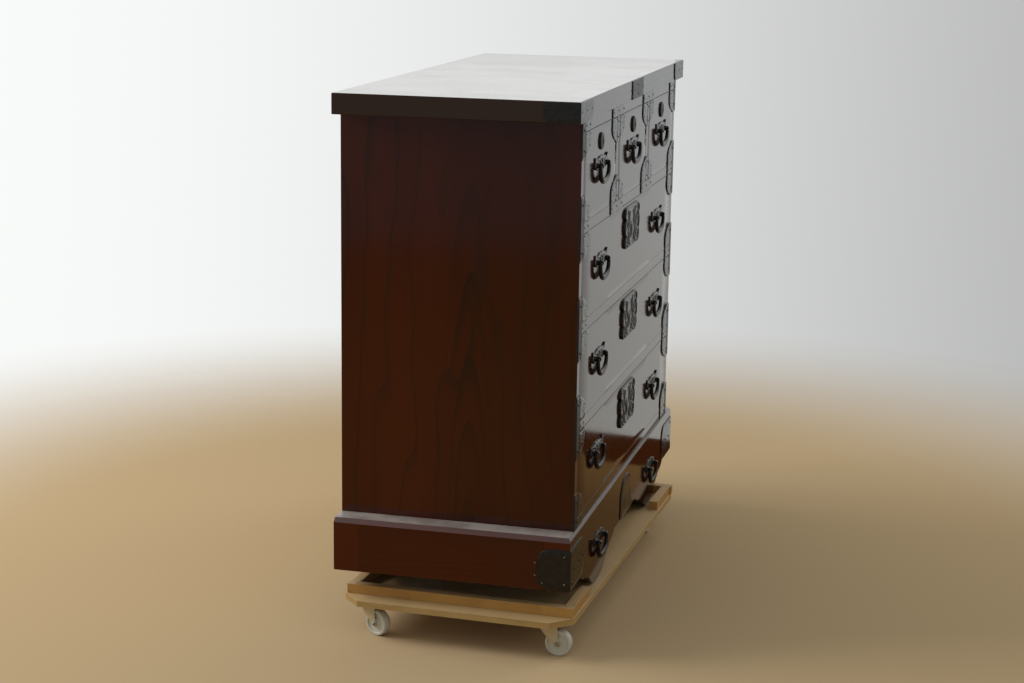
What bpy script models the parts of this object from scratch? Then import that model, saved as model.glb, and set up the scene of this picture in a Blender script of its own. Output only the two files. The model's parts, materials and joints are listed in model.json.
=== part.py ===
# A Japanese tansu chest of lacquered wood with iron fittings, standing on a wheeled plywood dolly.
# Metres, +Z up. The front looks along -Y. Chest pieces are placed in the chest's own frame: X = 0 at
# its middle, Y = 0 on the face of the drawers, Z = 0 where the body stands on the plinth.
import math

import bmesh
import bpy
import numpy as np
from mathutils import Matrix, Vector

# Clearances
seatGap = 0.0003          # between two pieces that touch
drawerSideGap = 0.0008    # beside a drawer front
drawerTopGap = 0.0011     # above a drawer front
overrun = 0.002           # how far a cutter or a rooted piece passes a face

# Body
bodyWidth = 0.948
bodyDepth = 0.455
sideBoard = 0.020
railHeight = 0.0205
rowHeight = 0.16525
rowCount = 4
railDepth = 0.030
dustBoard = 0.009
backBoard = 0.008
partitionBoard = 0.020
smallDrawerCount = 3

# Top slab
slabThickness = 0.039
slabSideOverhang = 0.052
slabFrontOverhang = 0.007
slabEdgeRound = 0.0015

# Plinth
plinthHeight = 0.102
plinthSideOverhang = 0.049
plinthFrontOverhang = 0.005
plinthFaceBoard = 0.050
plinthSideTimber = 0.070
plinthChamfer = 0.008
plinthFrontChamfer = 0.005
footDrop = 0.055
footHalfWidth = 0.160
footInset = 0.253         # foot centre from the plinth's end
# Half a foot from its outer end to its middle: share of the half width, share of the drop
footShares = (
    (1.0, 0.0), (0.93, 0.13), (0.86, 0.22), (0.69, 0.31), (0.56, 0.45), (0.47, 0.56),
    (0.41, 0.68), (0.355, 0.80), (0.29, 0.885), (0.18, 0.955), (0.08, 0.99),
)

# Drawers
drawerFront = 0.019
trayDepth = 0.400
trayWall = 0.010
trayBottom = 0.006
trayTopClearance = 0.004
trayWallDrop = 0.012      # back wall lower than the side walls

# Iron fittings
ironSheet = 0.0015
ironRoot = 0.0015         # how far a fused plate reaches into the wood
leafLength = 0.050
edgeLeafWidth = 0.048
partitionLeafWidth = 0.046
edgeReturn = 0.0022       # lip of an edge strap on the side board
# A leaf from its wide end to its tip: share of the width from the drawer's edge, share of the length
leafShares = (
    (1.0, 0.0), (1.0, 0.44), (0.94, 0.55), (0.83, 0.65), (0.68, 0.735),
    (0.57, 0.80), (0.44, 0.825), (0.32, 0.875), (0.20, 0.93), (0.08, 0.975), (0.0, 1.0),
)
lockWidth = 0.146
lockHeight = 0.084
lockThickness = 0.006
lockTopInset = 0.0075     # from the drawer's top edge
# Half of a long drawer's lock plate, from the middle of its top round to the middle of its foot
lockShares = (
    (0.0, 0.0), (0.74, 0.0), (0.88, -0.03), (0.97, -0.10), (1.0, -0.17), (0.97, -0.22), (0.885, -0.28),
    (0.97, -0.34), (1.0, -0.46), (0.97, -0.60), (0.885, -0.66), (0.95, -0.73), (0.975, -0.84),
    (0.90, -0.95), (0.74, -0.985), (0.60, -0.93), (0.44, -0.985), (0.27, -0.945), (0.12, -0.99),
    (0.0, -1.0),
)
lockBossRadius = 0.015
lockBossProud = 0.0025
roundLockRadius = 0.016
roundLockDomeRadius = 0.0135
roundLockProud = 0.005
roundLockHeightShare = 0.815   # up a small drawer's front

# Handles
bailHalfWidth = 0.038     # to the rod's centre line
bailDrop = 0.032
bailRod = 0.0044
bailPin = 0.00245         # radius of the pins in the eyes
bailPinReach = 0.004      # how far a pin runs in past its eye's middle
bailStandoff = 0.0085     # pivot line from the face
bailElbow = 0.004
bailElbowShares = ((0.4, 0.15, 0.5),)  # in from the rod's line, down, and from pin to rod radius
bailSteps = 8
bailRoundness = 1         # steps in a quarter of the rod's section, beyond its corners
bailFullness = 3.0        # exponent of the bail's curve, 2 is an ellipse
bailTurn = 0.2            # turn of the rod's facets about its own line, in radians
eyeOffset = 0.030         # eye centre from the handle's middle
eyeThickness = 0.0045
eyeRadius = 0.0045
eyeHole = 0.0029
handlePlateHalf = 0.056
handlePlateRise = 0.017
handlePlateFall = 0.011
# Half of a drawer handle's back plate: share of the half width, share of rise (+) or fall (-)
handleShares = (
    (0.0, 0.92), (0.20, 0.96), (0.34, 0.84), (0.50, 0.74), (0.62, 0.78), (0.74, 0.66), (0.83, 0.74),
    (0.93, 1.0), (1.0, 0.86), (0.97, 0.45), (1.0, 0.10), (0.93, -0.35), (0.80, -0.60), (0.62, -0.55),
    (0.50, -0.85), (0.34, -1.0), (0.17, -0.75), (0.0, -0.9),
)
plinthHandleHalf = 0.046
plinthHandleShares = (
    (0.0, 0.80), (0.30, 0.90), (0.62, 0.80), (0.90, 0.55), (1.0, 0.0), (0.90, -0.60),
    (0.62, -0.85), (0.30, -0.95), (0.0, -1.0),
)
longHandleInset = 0.164    # handle's middle from the opening's side
longHandleHeightShare = 0.552  # pivot height up a long drawer's front
smallHandleHeightShare = 0.552
plinthHandleInset = 0.253 # from the plinth's end
plinthHandleDrop = 0.074  # pivot below the plinth's top

# Corner and centre plates
slabPlateFront = 0.104
slabPlateSide = 0.066
slabPlateRound = 0.012
slabCentreWidth = 0.116
# End of the slab's centre plate from its top to its foot: share of the wave's depth, share of the height
waveShares = (
    (1.0, 0.0), (0.2, 0.167), (0.6, 0.333), (0.0, 0.5), (0.6, 0.667), (0.2, 0.833), (1.0, 1.0),
)
plinthPlateTop = 0.022    # below the plinth's top
plinthPlateHeight = 0.078
plinthPlateFront = 0.114
plinthPlateSide = 0.064
plinthPlateRound = 0.026
plinthCentreWidth = 0.116
plinthCentreTop = 0.018
plinthCentreBottom = 0.0005
plinthCentreSpringShare = 0.42  # height of the arch's spring up the plate

# Dolly
dollySkew = math.radians(2.1)
dollyNearReach = 0.0725   # deck corner beyond the body's left side
dollyFarInset = 0.0905    # and its other end short of the right side
dollyFrontReach = 0.0105  # deck corner before the body's face
deckDepthShort = 0.0      # deck less deep than the body
deckThickness = 0.012
deckCorner = 0.038
batten = 0.0185
battenFrontInset = 0.002
battenBackInset = 0.0045
nearBattenInset = 0.037
battenFootClear = 0.1065  # end of a near short batten from the foot's middle
farBattenFootReach = 0.068 # far side batten's inner face from the other foot's middle
farShortBatten = 0.1242   # length of the short batten beside it
backBattenInset = 0.0065

# Casters
casterHeight = 0.064
casterPlateX = 0.040
casterPlateY = 0.032
casterPlate = 0.002
casterBolt = 0.0032
casterBoltHead = 0.0016
casterBoltInset = 0.0045  # screw centre from the plate's edges
wheelRadius = 0.025
wheelWidth = 0.018
wheelBore = 0.0034
# Half of a wheel's section from its bore to its tread: share of the radius, share of the half width
wheelShares = (
    (0.34, 1.0), (0.38, 0.62), (0.80, 0.62), (0.86, 1.0), (0.96, 1.0), (1.0, 0.80),
)
axleRadius = 0.003
axleNut = 0.0048
nutThickness = 0.003
casterTrail = 0.020
forkGap = 0.001           # wheel to fork leg
forkLeg = 0.0018
forkCrown = 0.0145
forkCrownThickness = 0.005
forkHole = 0.0052
forkLegTop = 0.013
forkLegToe = 0.0065
kingPin = 0.0046
kingPinHead = 0.0072
kingPinHeadThickness = 0.0018
nearCasterInset = 0.044
farCasterInset = 0.075
casterFrontInset = 0.050
casterBackInset = 0.050
# Trail directions, degrees from the dolly's +X: front left, back left, front right, back right
casterTurns = (-90.0, -113.0, -172.0, 158.0)
wheelSteps = 24
roundSteps = 12
roundLockSteps = 18

# Worked out
deckLength = bodyWidth + dollyNearReach - dollyFarInset
deckDepth = bodyDepth - deckDepthShort
nearFoot = footInset + dollyNearReach - plinthSideOverhang  # a foot's middle from the deck's end
farFoot = footInset - dollyFarInset - plinthSideOverhang
railPitch = railHeight + rowHeight
bodyHeight = railHeight + rowCount * railPitch
halfBody = bodyWidth / 2
halfOpening = halfBody - sideBoard
halfPlinth = halfBody + plinthSideOverhang
longHandles = (longHandleInset - halfOpening, halfOpening - longHandleInset)
plinthHandles = (plinthHandleInset - halfPlinth, halfPlinth - plinthHandleInset)
deckTop = casterHeight + seatGap + deckThickness
plinthBottom = deckTop + seatGap + footDrop
plinthTop = plinthBottom + plinthHeight
innerDepth = bodyDepth - backBoard
smallOpening = (2 * halfOpening - (smallDrawerCount - 1) * partitionBoard) / smallDrawerCount
skewCos = math.cos(dollySkew)
skewSin = math.sin(dollySkew)
topRowBottom = (rowCount - 1) * railPitch + railHeight
partitionCentres = [
    -halfOpening + (i + 1) * smallOpening + (i + 0.5) * partitionBoard
    for i in range(smallDrawerCount - 1)
]

# The dolly's corner and the whole object's extent, in the chest's frame
dollyCornerX = -halfBody - dollyNearReach
dollyCornerY = -dollyFrontReach
leftEnd = dollyCornerX + deckCorner * skewSin
rightEnd = halfBody + slabSideOverhang
frontEnd = dollyCornerY - (deckLength - deckCorner) * skewSin
backEnd = bodyDepth
chestX = -(leftEnd + rightEnd) / 2
chestY = -(frontEnd + backEnd) / 2


def clearScene():
    for obj in list(bpy.data.objects):
        bpy.data.objects.remove(obj, do_unlink=True)


def newCollection(name):
    group = bpy.data.collections.new(name)
    bpy.context.scene.collection.children.link(group)
    return group


def newMaterial(name, color, roughness, metallic=0.0):
    mat = bpy.data.materials.new(name)
    mat.use_nodes = True
    shader = mat.node_tree.nodes["Principled BSDF"]
    shader.inputs["Base Color"].default_value = (*color, 1.0)
    shader.inputs["Roughness"].default_value = roughness
    shader.inputs["Metallic"].default_value = metallic
    mat.diffuse_color = (*color, 1.0)
    return mat


def newEmpty(name, place, parent=None, turn=0.0):
    empty = bpy.data.objects.new(name, None)
    parts.objects.link(empty)
    empty.location = place
    empty.rotation_euler = (0.0, 0.0, turn)
    empty.parent = parent
    return empty


def meshObject(name, bm, place=(0, 0, 0), mat=None, parent=None, group=None):
    mesh = bpy.data.meshes.new(name)
    bm.to_mesh(mesh)
    bm.free()
    obj = bpy.data.objects.new(name, mesh)
    (group or parts).objects.link(obj)
    obj.location = place
    obj.parent = parent
    if mat:
        mesh.materials.append(mat)
    return obj


def boxMesh(low, high):
    bm = bmesh.new()
    size = [high[i] - low[i] for i in range(3)]
    centre = [(high[i] + low[i]) / 2 for i in range(3)]
    bmesh.ops.create_cube(bm, size=1.0, matrix=Matrix.Translation(centre) @ Matrix.Diagonal((*size, 1.0)))
    return bm


def boxObject(name, low, high, mat, parent, group=None):
    """A box between two corners of its parent's frame, its origin at its centre."""
    centre = Vector([(high[i] + low[i]) / 2 for i in range(3)])
    bm = boxMesh([low[i] - centre[i] for i in range(3)], [high[i] - centre[i] for i in range(3)])
    return meshObject(name, bm, centre, mat, parent, group)


def cylinderMesh(radius, length, centre=(0, 0, 0), axis="Z", steps=roundSteps):
    bm = bmesh.new()
    turn = {"X": Matrix.Rotation(math.pi / 2, 4, "Y"), "Y": Matrix.Rotation(math.pi / 2, 4, "X"),
            "Z": Matrix.Identity(4)}[axis]
    bmesh.ops.create_cone(
        bm, cap_ends=True, segments=steps, radius1=radius, radius2=radius, depth=length,
        matrix=Matrix.Translation(centre) @ turn)
    return bm


def bevelEdges(obj, chosen, width):
    """Cuts the corners of the edges for which chosen(a, b) is true."""
    bm = bmesh.new()
    bm.from_mesh(obj.data)
    edges = [e for e in bm.edges if chosen(e.verts[0].co, e.verts[1].co)]
    bmesh.ops.bevel(bm, geom=edges, offset=width, segments=1, affect="EDGES")
    bm.to_mesh(obj.data)
    bm.free()


def plateMesh(loops, low, high, plane="XZ"):
    """A flat outline (the first loop) with holes (the others), filled by a 2D curve and given a thickness.
    The outline lies in the named plane and the thickness runs from low to high along the third axis."""
    curve = bpy.data.curves.new("outline", "CURVE")
    curve.dimensions = "2D"
    curve.fill_mode = "BOTH"
    curve.extrude = (high - low) / 2
    for loop in loops:
        spline = curve.splines.new("POLY")
        spline.points.add(len(loop) - 1)
        for point, (u, v) in zip(spline.points, loop):
            point.co = (u, v, 0.0, 1.0)
        spline.use_cyclic_u = True
    obj = bpy.data.objects.new("outline", curve)
    cutters.objects.link(obj)
    graph = bpy.context.evaluated_depsgraph_get()
    mesh = bpy.data.meshes.new_from_object(obj.evaluated_get(graph))
    bpy.data.objects.remove(obj, do_unlink=True)
    bm = bmesh.new()
    bm.from_mesh(mesh)
    bpy.data.meshes.remove(mesh)
    bmesh.ops.remove_doubles(bm, verts=bm.verts, dist=seatGap / 100)
    middle = (low + high) / 2
    turn = {
        "XZ": Matrix(((1, 0, 0, 0), (0, 0, 1, middle), (0, 1, 0, 0), (0, 0, 0, 1))),
        "YZ": Matrix(((0, 0, 1, middle), (1, 0, 0, 0), (0, 1, 0, 0), (0, 0, 0, 1))),
        "XY": Matrix(((1, 0, 0, 0), (0, 1, 0, 0), (0, 0, 1, middle), (0, 0, 0, 1))),
    }[plane]
    bmesh.ops.transform(bm, matrix=turn, verts=bm.verts)
    bmesh.ops.recalc_face_normals(bm, faces=bm.faces)
    return bm


def moved(bm, offset):
    bmesh.ops.translate(bm, vec=Vector(offset), verts=bm.verts)
    return bm


def joined(meshes):
    """Several closed shapes in one mesh, still separate until a union joins them."""
    whole = bmesh.new()
    for bm in meshes:
        mesh = bpy.data.meshes.new("piece")
        bm.to_mesh(mesh)
        bm.free()
        whole.from_mesh(mesh)
        bpy.data.meshes.remove(mesh)
    return whole


def hidden(name, bm, parent, place=(0, 0, 0)):
    """A helper for a Boolean, left out of the model."""
    obj = meshObject(name, bm, place, None, parent, cutters)
    obj.hide_render = True
    obj.display_type = "WIRE"
    return obj


def unite(obj, helper):
    modifier = obj.modifiers.new("fittings", "BOOLEAN")
    modifier.operation = "UNION"
    modifier.solver = "EXACT"
    modifier.use_self = True
    modifier.object = helper


def smooth(obj, angle=math.radians(35)):
    obj.data.shade_smooth()
    obj.data.set_sharp_from_angle(angle=angle)


def mirroredLoop(half):
    """A closed outline from its right half, which starts and ends on the middle line."""
    inner = [(-x, y) for x, y in half if x > 0]
    return list(half) + inner[::-1]


def arc(centre, radius, start, end, steps):
    """Points along an arc, angles in degrees."""
    return [
        (centre[0] + radius * math.cos(a), centre[1] + radius * math.sin(a))
        for a in np.radians(np.linspace(start, end, steps))
    ]


# Iron outlines

def leafLoop(width, corner, towards, upwards):
    """A quarter leaf on a drawer's corner: its tip runs along the drawer's upright edge."""
    x, z = corner
    points = [(x + towards * width * u, z + upwards * leafLength * v) for u, v in leafShares]
    return [(x, z)] + points


def lockLoop():
    half = [(lockWidth / 2 * u, lockHeight * v) for u, v in lockShares]
    return mirroredLoop(half)


def handleLoop(shares, halfWidth):
    half = [
        (halfWidth * u, (handlePlateRise if v > 0 else handlePlateFall) * v) for u, v in shares
    ]
    return mirroredLoop(half)


def eyeMeshes(centre):
    """The two eyes that hold a bail, standing out of the face at Y = 0."""
    x, z = centre
    root = [(ironRoot, z - eyeRadius), (ironRoot, z + eyeRadius)]
    nose = arc((-bailStandoff, z), eyeRadius, 90, 270, 6)
    outline = root + nose
    hole = arc((-bailStandoff, z), eyeHole, 0, 330, 12)
    return [
        plateMesh([outline, hole], x + side * eyeOffset - eyeThickness / 2,
                  x + side * eyeOffset + eyeThickness / 2, "YZ")
        for side in (-1, 1)
    ]


def handleMeshes(centre, shares=handleShares, halfWidth=handlePlateHalf):
    """A back plate and its two eyes round the pivot point given."""
    plate = plateMesh([handleLoop(shares, halfWidth)], -ironSheet, ironRoot)
    return [moved(plate, (centre[0], 0, centre[1]))] + eyeMeshes(centre)


def makeBail(name, place, parent):
    """A hanging bail: a rod along half a superellipse, with its ends turned in as pins through the eyes."""
    pinEnd = eyeOffset - bailPinReach
    pinShare = bailPin / bailRod
    elbow = [(pinEnd, 0.0, pinShare), (eyeOffset + eyeThickness / 2 + bailElbow / 4, 0.0, pinShare)]
    elbow += [
        (bailHalfWidth - bailElbow * u, -bailElbow * v, pinShare + (1 - pinShare) * w)
        for u, v, w in bailElbowShares
    ]
    power = 2 / bailFullness
    first = math.asin((bailElbow / bailDrop) ** (1 / power))
    bow = []
    for t in np.linspace(first, math.pi - first, bailSteps):
        across = np.sign(math.cos(t)) * abs(math.cos(t)) ** power
        bow.append((bailHalfWidth * across, -bailDrop * math.sin(t) ** power, 1.0))
    points = elbow + bow + [(-x, z, share) for x, z, share in elbow[::-1]]
    curve = bpy.data.curves.new(name, "CURVE")
    curve.dimensions = "3D"
    curve.bevel_depth = bailRod
    curve.bevel_resolution = bailRoundness
    curve.use_fill_caps = True
    curve.twist_mode = "Z_UP"
    spline = curve.splines.new("POLY")
    spline.points.add(len(points) - 1)
    for point, (x, z, share) in zip(spline.points, points):
        point.co = (x, 0.0, z, 1.0)
        point.radius = share
        point.tilt = bailTurn
    curve.materials.append(ironPaint)
    obj = bpy.data.objects.new(name, curve)
    parts.objects.link(obj)
    obj.location = place
    obj.parent = parent
    return obj


# Chest body

def makeSides():
    """Side boards with the iron edge straps that wrap each end of every rail."""
    for name, side in (("side_left", -1), ("side_right", 1)):
        inner, outer = side * halfOpening, side * halfBody
        near, far = sorted((inner, outer))
        board = boxObject(name, (near, 0, seatGap), (far, bodyDepth, bodyHeight), lacquer, chest)
        straps = []
        for level in range(rowCount + 1):
            low = max(level * railPitch - leafLength, 2 * seatGap)
            high = min(level * railPitch + railHeight + leafLength, bodyHeight - seatGap)
            face = sorted((inner + side * seatGap, outer + side * ironSheet))
            straps.append(boxMesh((face[0], -ironSheet, low), (face[1], edgeReturn, high)))
            centre = board.location
        unite(board, hidden(name + "_straps", moved(joined(straps), -centre), chest, centre))


def railPlates(places, z):
    """Iron bands on a rail's face, as (from, to) along X."""
    return [
        boxMesh((low, -ironSheet, z + seatGap), (high, ironRoot, z + railHeight - seatGap))
        for low, high in places
    ]


def edgeBands():
    reach = halfOpening - seatGap * 2
    return [(-reach, -reach + edgeLeafWidth), (reach - edgeLeafWidth, reach)]


def partitionBands():
    half = partitionBoard / 2 + partitionLeafWidth
    return [(c - half, c + half) for c in partitionCentres]


def makeShelf(name, level, bands):
    """A rail with a thinner dust board behind it, flush on top."""
    z = level * railPitch
    x = halfOpening - seatGap
    profile = [
        (0, z), (railDepth, z), (railDepth, z + railHeight - dustBoard),
        (innerDepth - seatGap, z + railHeight - dustBoard), (innerDepth - seatGap, z + railHeight),
        (0, z + railHeight),
    ]
    shelf = meshObject(name, plateMesh([profile], -x, x, "YZ"), (0, 0, 0), lacquer, chest)
    unite(shelf, hidden(name + "_bands", joined(railPlates(bands, z)), chest))
    return shelf


def makeBody():
    x = halfOpening - seatGap
    makeSides()
    bottom = boxObject(
        "bottom_board", (-x, 0, seatGap), (x, innerDepth - seatGap, railHeight), lacquer, chest)
    centre = bottom.location
    unite(bottom, hidden("bottom_bands", moved(joined(railPlates(edgeBands(), 0)), -centre), chest, centre))
    for level in range(1, rowCount):
        bands = edgeBands() + (partitionBands() if level == rowCount - 1 else [])
        makeShelf(f"shelf_{level}", level, bands)
    z = rowCount * railPitch
    rail = boxObject("top_rail", (-x, 0, z), (x, railDepth, z + railHeight), lacquer, chest)
    centre = rail.location
    bands = railPlates(edgeBands() + partitionBands(), z)
    unite(rail, hidden("top_rail_bands", moved(joined(bands), -centre), chest, centre))
    boxObject("back_panel", (-x, innerDepth, seatGap), (x, bodyDepth, bodyHeight), innerWood, chest)
    makePartitions()


def makePartitions():
    """Upright boards in the top row, stepped round the top rail, with an iron strap at each end."""
    low = topRowBottom + seatGap
    under = rowCount * railPitch - seatGap
    profile = [
        (0, low), (innerDepth - seatGap, low), (innerDepth - seatGap, bodyHeight),
        (railDepth + seatGap, bodyHeight), (railDepth + seatGap, under), (0, under),
    ]
    for i, c in enumerate(partitionCentres):
        half = partitionBoard / 2
        name = f"partition_{i + 1}"
        sheet = plateMesh([profile], c - half, c + half, "YZ")
        board = meshObject(name, sheet, (0, 0, 0), lacquer, chest)
        straps = [
            boxMesh((c - half + seatGap, -ironSheet, a), (c + half - seatGap, ironRoot, b))
            for a, b in ((low + seatGap, low + leafLength), (under - leafLength, under - seatGap))
        ]
        unite(board, hidden(name + "_straps", joined(straps), chest))


def waveLoop(width, low, high, depth):
    """A band whose two ends are drawn in and out as a cloud edge."""
    half = width / 2
    right = [(half - depth * u, high + (low - high) * v) for u, v in waveShares]
    return right + [(-x, z) for x, z in right[::-1]]


def makeSlab():
    """The overhanging top with its centre plate."""
    z = bodyHeight + seatGap
    x = halfBody + slabSideOverhang
    top = z + slabThickness
    slab = boxObject("top_slab", (-x, -slabFrontOverhang, z), (x, bodyDepth, top), lacquer, chest)
    bevelEdges(slab, lambda a, b: True, slabEdgeRound)
    centre = slab.location
    loop = waveLoop(slabCentreWidth, z + slabEdgeRound, top - slabEdgeRound, slabPlateRound / 2)
    plate = plateMesh([loop], -slabFrontOverhang - ironSheet, -slabFrontOverhang + ironRoot)
    unite(slab, hidden("slab_centre_plate", moved(plate, -centre), chest, centre))
    return z


def cornerPlate(name, corner, side, low, high, frontReach, sideReach, rounding, cut):
    """An iron sheet bent round an outer corner: a front wing and a side wing with rounded free ends."""
    x, y = corner
    out = seatGap + ironSheet
    # Front wing in the XZ plane
    far = x - side * frontReach
    start = x + side * out
    frontLoop = [(start, low), (start, high)] + wingEnd(far, side, low, high, rounding, cut)
    front = plateMesh([frontLoop], y - out, y - seatGap)
    # Side wing in the YZ plane
    back = y + sideReach
    sideLoop = [(y - out, low), (y - out, high)] + wingEnd(back, -1, low, high, rounding, cut)
    span = sorted((x + side * seatGap, x + side * out))
    wing = plateMesh([sideLoop], span[0], span[1], "YZ")
    obj = meshObject(name, front, (0, 0, 0), ironPaint, chest)
    unite(obj, hidden(name + "_side_wing", wing, chest))


def wingEnd(end, side, low, high, rounding, cut):
    """The free end of a wing, from high to low. A cut end loses only its lower corner."""
    inner = end + side * rounding
    if cut:
        foot = [(inner - side * rounding * math.sin(a), low + rounding * (1 - math.cos(a)))
                for a in np.linspace(math.pi / 2, 0, 5)]
        return [(end, high)] + foot
    top = [(inner - side * rounding * math.cos(a), high - rounding * (1 - math.sin(a)))
           for a in np.linspace(math.pi / 2, 0, 5)]
    foot = [(inner - side * rounding * math.cos(a), low + rounding * (1 - math.sin(a)))
            for a in np.linspace(0, math.pi / 2, 5)]
    return top + foot


def makeSlabCorners(z):
    x = halfBody + slabSideOverhang
    for name, side in (("slab_corner_left", -1), ("slab_corner_right", 1)):
        cornerPlate(
            name, (side * x, -slabFrontOverhang), side,
            z + slabEdgeRound, z + slabThickness - slabEdgeRound,
            slabPlateFront, slabPlateSide, slabPlateRound, True)


# Plinth

def footLoop():
    """The plinth's face: chamfered top corners and two drooping feet under a straight edge."""
    x = halfPlinth
    bottom = -plinthHeight
    lower = [(-x, bottom)]
    for centre in (footInset - x, x - footInset):
        half = [(footHalfWidth * u, footDrop * v) for u, v in footShares]
        lower += [(centre - u, bottom - v) for u, v in half]
        lower += [(centre, bottom - footDrop)]
        lower += [(centre + u, bottom - v) for u, v in half[::-1]]
    lower += [(x, bottom)]
    top = [(x, -plinthChamfer), (x - plinthChamfer, 0), (-x + plinthChamfer, 0), (-x, -plinthChamfer)]
    return lower + top


def makePlinth():
    front = -plinthFrontOverhang
    board = meshObject(
        "plinth_front", plateMesh([footLoop()], front, front + plinthFaceBoard), (0, 0, 0), lacquer, chest)
    bevelEdges(
        board, lambda a, b: max(abs(a.z), abs(b.z), abs(a.y - front), abs(b.y - front)) < seatGap,
        plinthFrontChamfer)
    unite(board, hidden("plinth_fittings", joined(plinthFittings(front)), chest))
    for i, x in enumerate(plinthHandles):
        makeBail(f"plinth_bail_{i + 1}", (x, front - bailStandoff, -plinthHandleDrop), chest)
    back = plateMesh([footLoop()], bodyDepth - plinthFaceBoard, bodyDepth)
    meshObject("plinth_back", back, (0, 0, 0), lacquer, chest)
    y = (front + plinthFaceBoard + seatGap, bodyDepth - plinthFaceBoard - seatGap)
    for name, side in (("plinth_left", -1), ("plinth_right", 1)):
        outer = side * halfPlinth
        inner = outer - side * plinthSideTimber
        profile = [
            (inner, -plinthHeight), (outer, -plinthHeight), (outer, -plinthChamfer),
            (outer - side * plinthChamfer, 0), (inner, 0),
        ]
        meshObject(name, plateMesh([profile], y[0], y[1]), (0, 0, 0), lacquer, chest)
        cornerPlate(
            name.replace("plinth", "plinth_corner"), (outer, front), side,
            -plinthPlateTop - plinthPlateHeight, -plinthPlateTop, plinthPlateFront, plinthPlateSide,
            plinthPlateRound, False)


def plinthFittings(front):
    """The centre plate and the two carrying handles' plates on the plinth's face."""
    half = plinthCentreWidth / 2
    low = -plinthHeight + plinthCentreBottom
    high = -plinthCentreTop
    spring = low + (high - low) * plinthCentreSpringShare
    rise = high - spring
    arch = [(half * math.cos(a), spring + rise * math.sin(a)) for a in np.linspace(0, math.pi, 13)]
    centre = plateMesh([[(half, low)] + arch + [(-half, low)]], -ironSheet, ironRoot)
    meshes = [centre]
    for x in plinthHandles:
        meshes += handleMeshes((x, -plinthHandleDrop), plinthHandleShares, plinthHandleHalf)
    return [moved(bm, (0, front, 0)) for bm in meshes]


# Drawers

def drawerLeaves(x0, x1, z0, z1, widths):
    """The four quarter leaves on a drawer front's corners."""
    loops = []
    for x, towards, width in ((x0, 1, widths[0]), (x1, -1, widths[1])):
        loops.append(leafLoop(width, (x, z0), towards, 1))
        loops.append(leafLoop(width, (x, z1), towards, -1))
    return [plateMesh([loop], -ironSheet, ironRoot) for loop in loops]


def makeDrawer(name, span, level, widths, handles, small):
    """A drawer front with its fused fittings, an open tray behind it and its swinging bails."""
    z0 = level * railPitch + railHeight + seatGap
    z1 = (level + 1) * railPitch - drawerTopGap
    x0 = span[0] + drawerSideGap
    x1 = span[1] - drawerSideGap
    middle = (x0 + x1) / 2
    base = newEmpty(name, (middle, 0, z0), chest)
    width, height = x1 - x0, z1 - z0
    half = width / 2
    front = boxObject(name + "_front", (-half, 0, 0), (half, drawerFront, height), lacquer, base)
    meshes = drawerLeaves(-half + seatGap, half - seatGap, seatGap, height - seatGap, widths)
    share = smallHandleHeightShare if small else longHandleHeightShare
    if small:
        z = height * roundLockHeightShare
        centre = (0, (ironRoot - ironSheet) / 2, z)
        meshes.append(cylinderMesh(roundLockRadius, ironSheet + ironRoot, centre, "Y", roundLockSteps))
        meshes.append(domeMesh(roundLockDomeRadius, roundLockProud, z))
    else:
        lock = plateMesh([lockLoop()], -lockThickness, ironRoot)
        meshes.append(moved(lock, (0, 0, height - lockTopInset)))
        z = height - lockTopInset - lockHeight / 2
        meshes.append(domeMesh(lockBossRadius, lockThickness + lockBossProud, z))
    for x in handles:
        meshes += handleMeshes((x, height * share))
    centre = front.location
    unite(front, hidden(name + "_fittings", moved(joined(meshes), -centre), base, centre))
    makeTray(name + "_tray", width, height, base)
    for i, x in enumerate(handles):
        suffix = f"_{i + 1}" if len(handles) > 1 else ""
        makeBail(name + "_bail" + suffix, (x, -bailStandoff, height * share), base)


def domeMesh(radius, proud, z):
    bm = bmesh.new()
    bmesh.ops.create_uvsphere(
        bm, u_segments=14, v_segments=8, radius=1.0,
        matrix=Matrix.Translation((0, 0, z)) @ Matrix.Rotation(math.pi / 2, 4, "X")
        @ Matrix.Diagonal((radius, radius, proud, 1.0)))
    return bm


def makeTray(name, width, height, base):
    """Side walls, back wall and bottom as one open box: a block with its inside cut out."""
    half = width / 2 - seatGap
    y0 = drawerFront + seatGap
    y1 = y0 + trayDepth
    top = height - trayTopClearance
    tray = boxObject(name, (-half, y0, 0), (half, y1, top), innerWood, base)
    side = half - trayWall
    over = top + overrun
    inner = boxMesh((-side, y0 + trayWall, trayBottom), (side, y1 - trayWall, over))
    step = boxMesh((-side, y1 - 2 * trayWall, top - trayWallDrop), (side, y1 + overrun, over))
    centre = tray.location
    for label, bm in (("hollow", inner), ("step", step)):
        cut = tray.modifiers.new(label, "BOOLEAN")
        cut.operation = "DIFFERENCE"
        cut.solver = "EXACT"
        cut.object = hidden(f"{name}_{label}", moved(bm, -centre), base, centre)


def makeDrawers():
    for level in range(rowCount - 1):
        makeDrawer(
            f"drawer_{rowCount - level}", (-halfOpening, halfOpening), level,
            (edgeLeafWidth, edgeLeafWidth), longHandles, False)
    for i in range(smallDrawerCount):
        left = -halfOpening + i * (smallOpening + partitionBoard)
        widths = (edgeLeafWidth if i == 0 else partitionLeafWidth,
                  edgeLeafWidth if i == smallDrawerCount - 1 else partitionLeafWidth)
        makeDrawer(f"drawer_1{'abc'[i]}", (left, left + smallOpening), rowCount - 1, widths, (0.0,), True)


# Dolly

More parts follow.
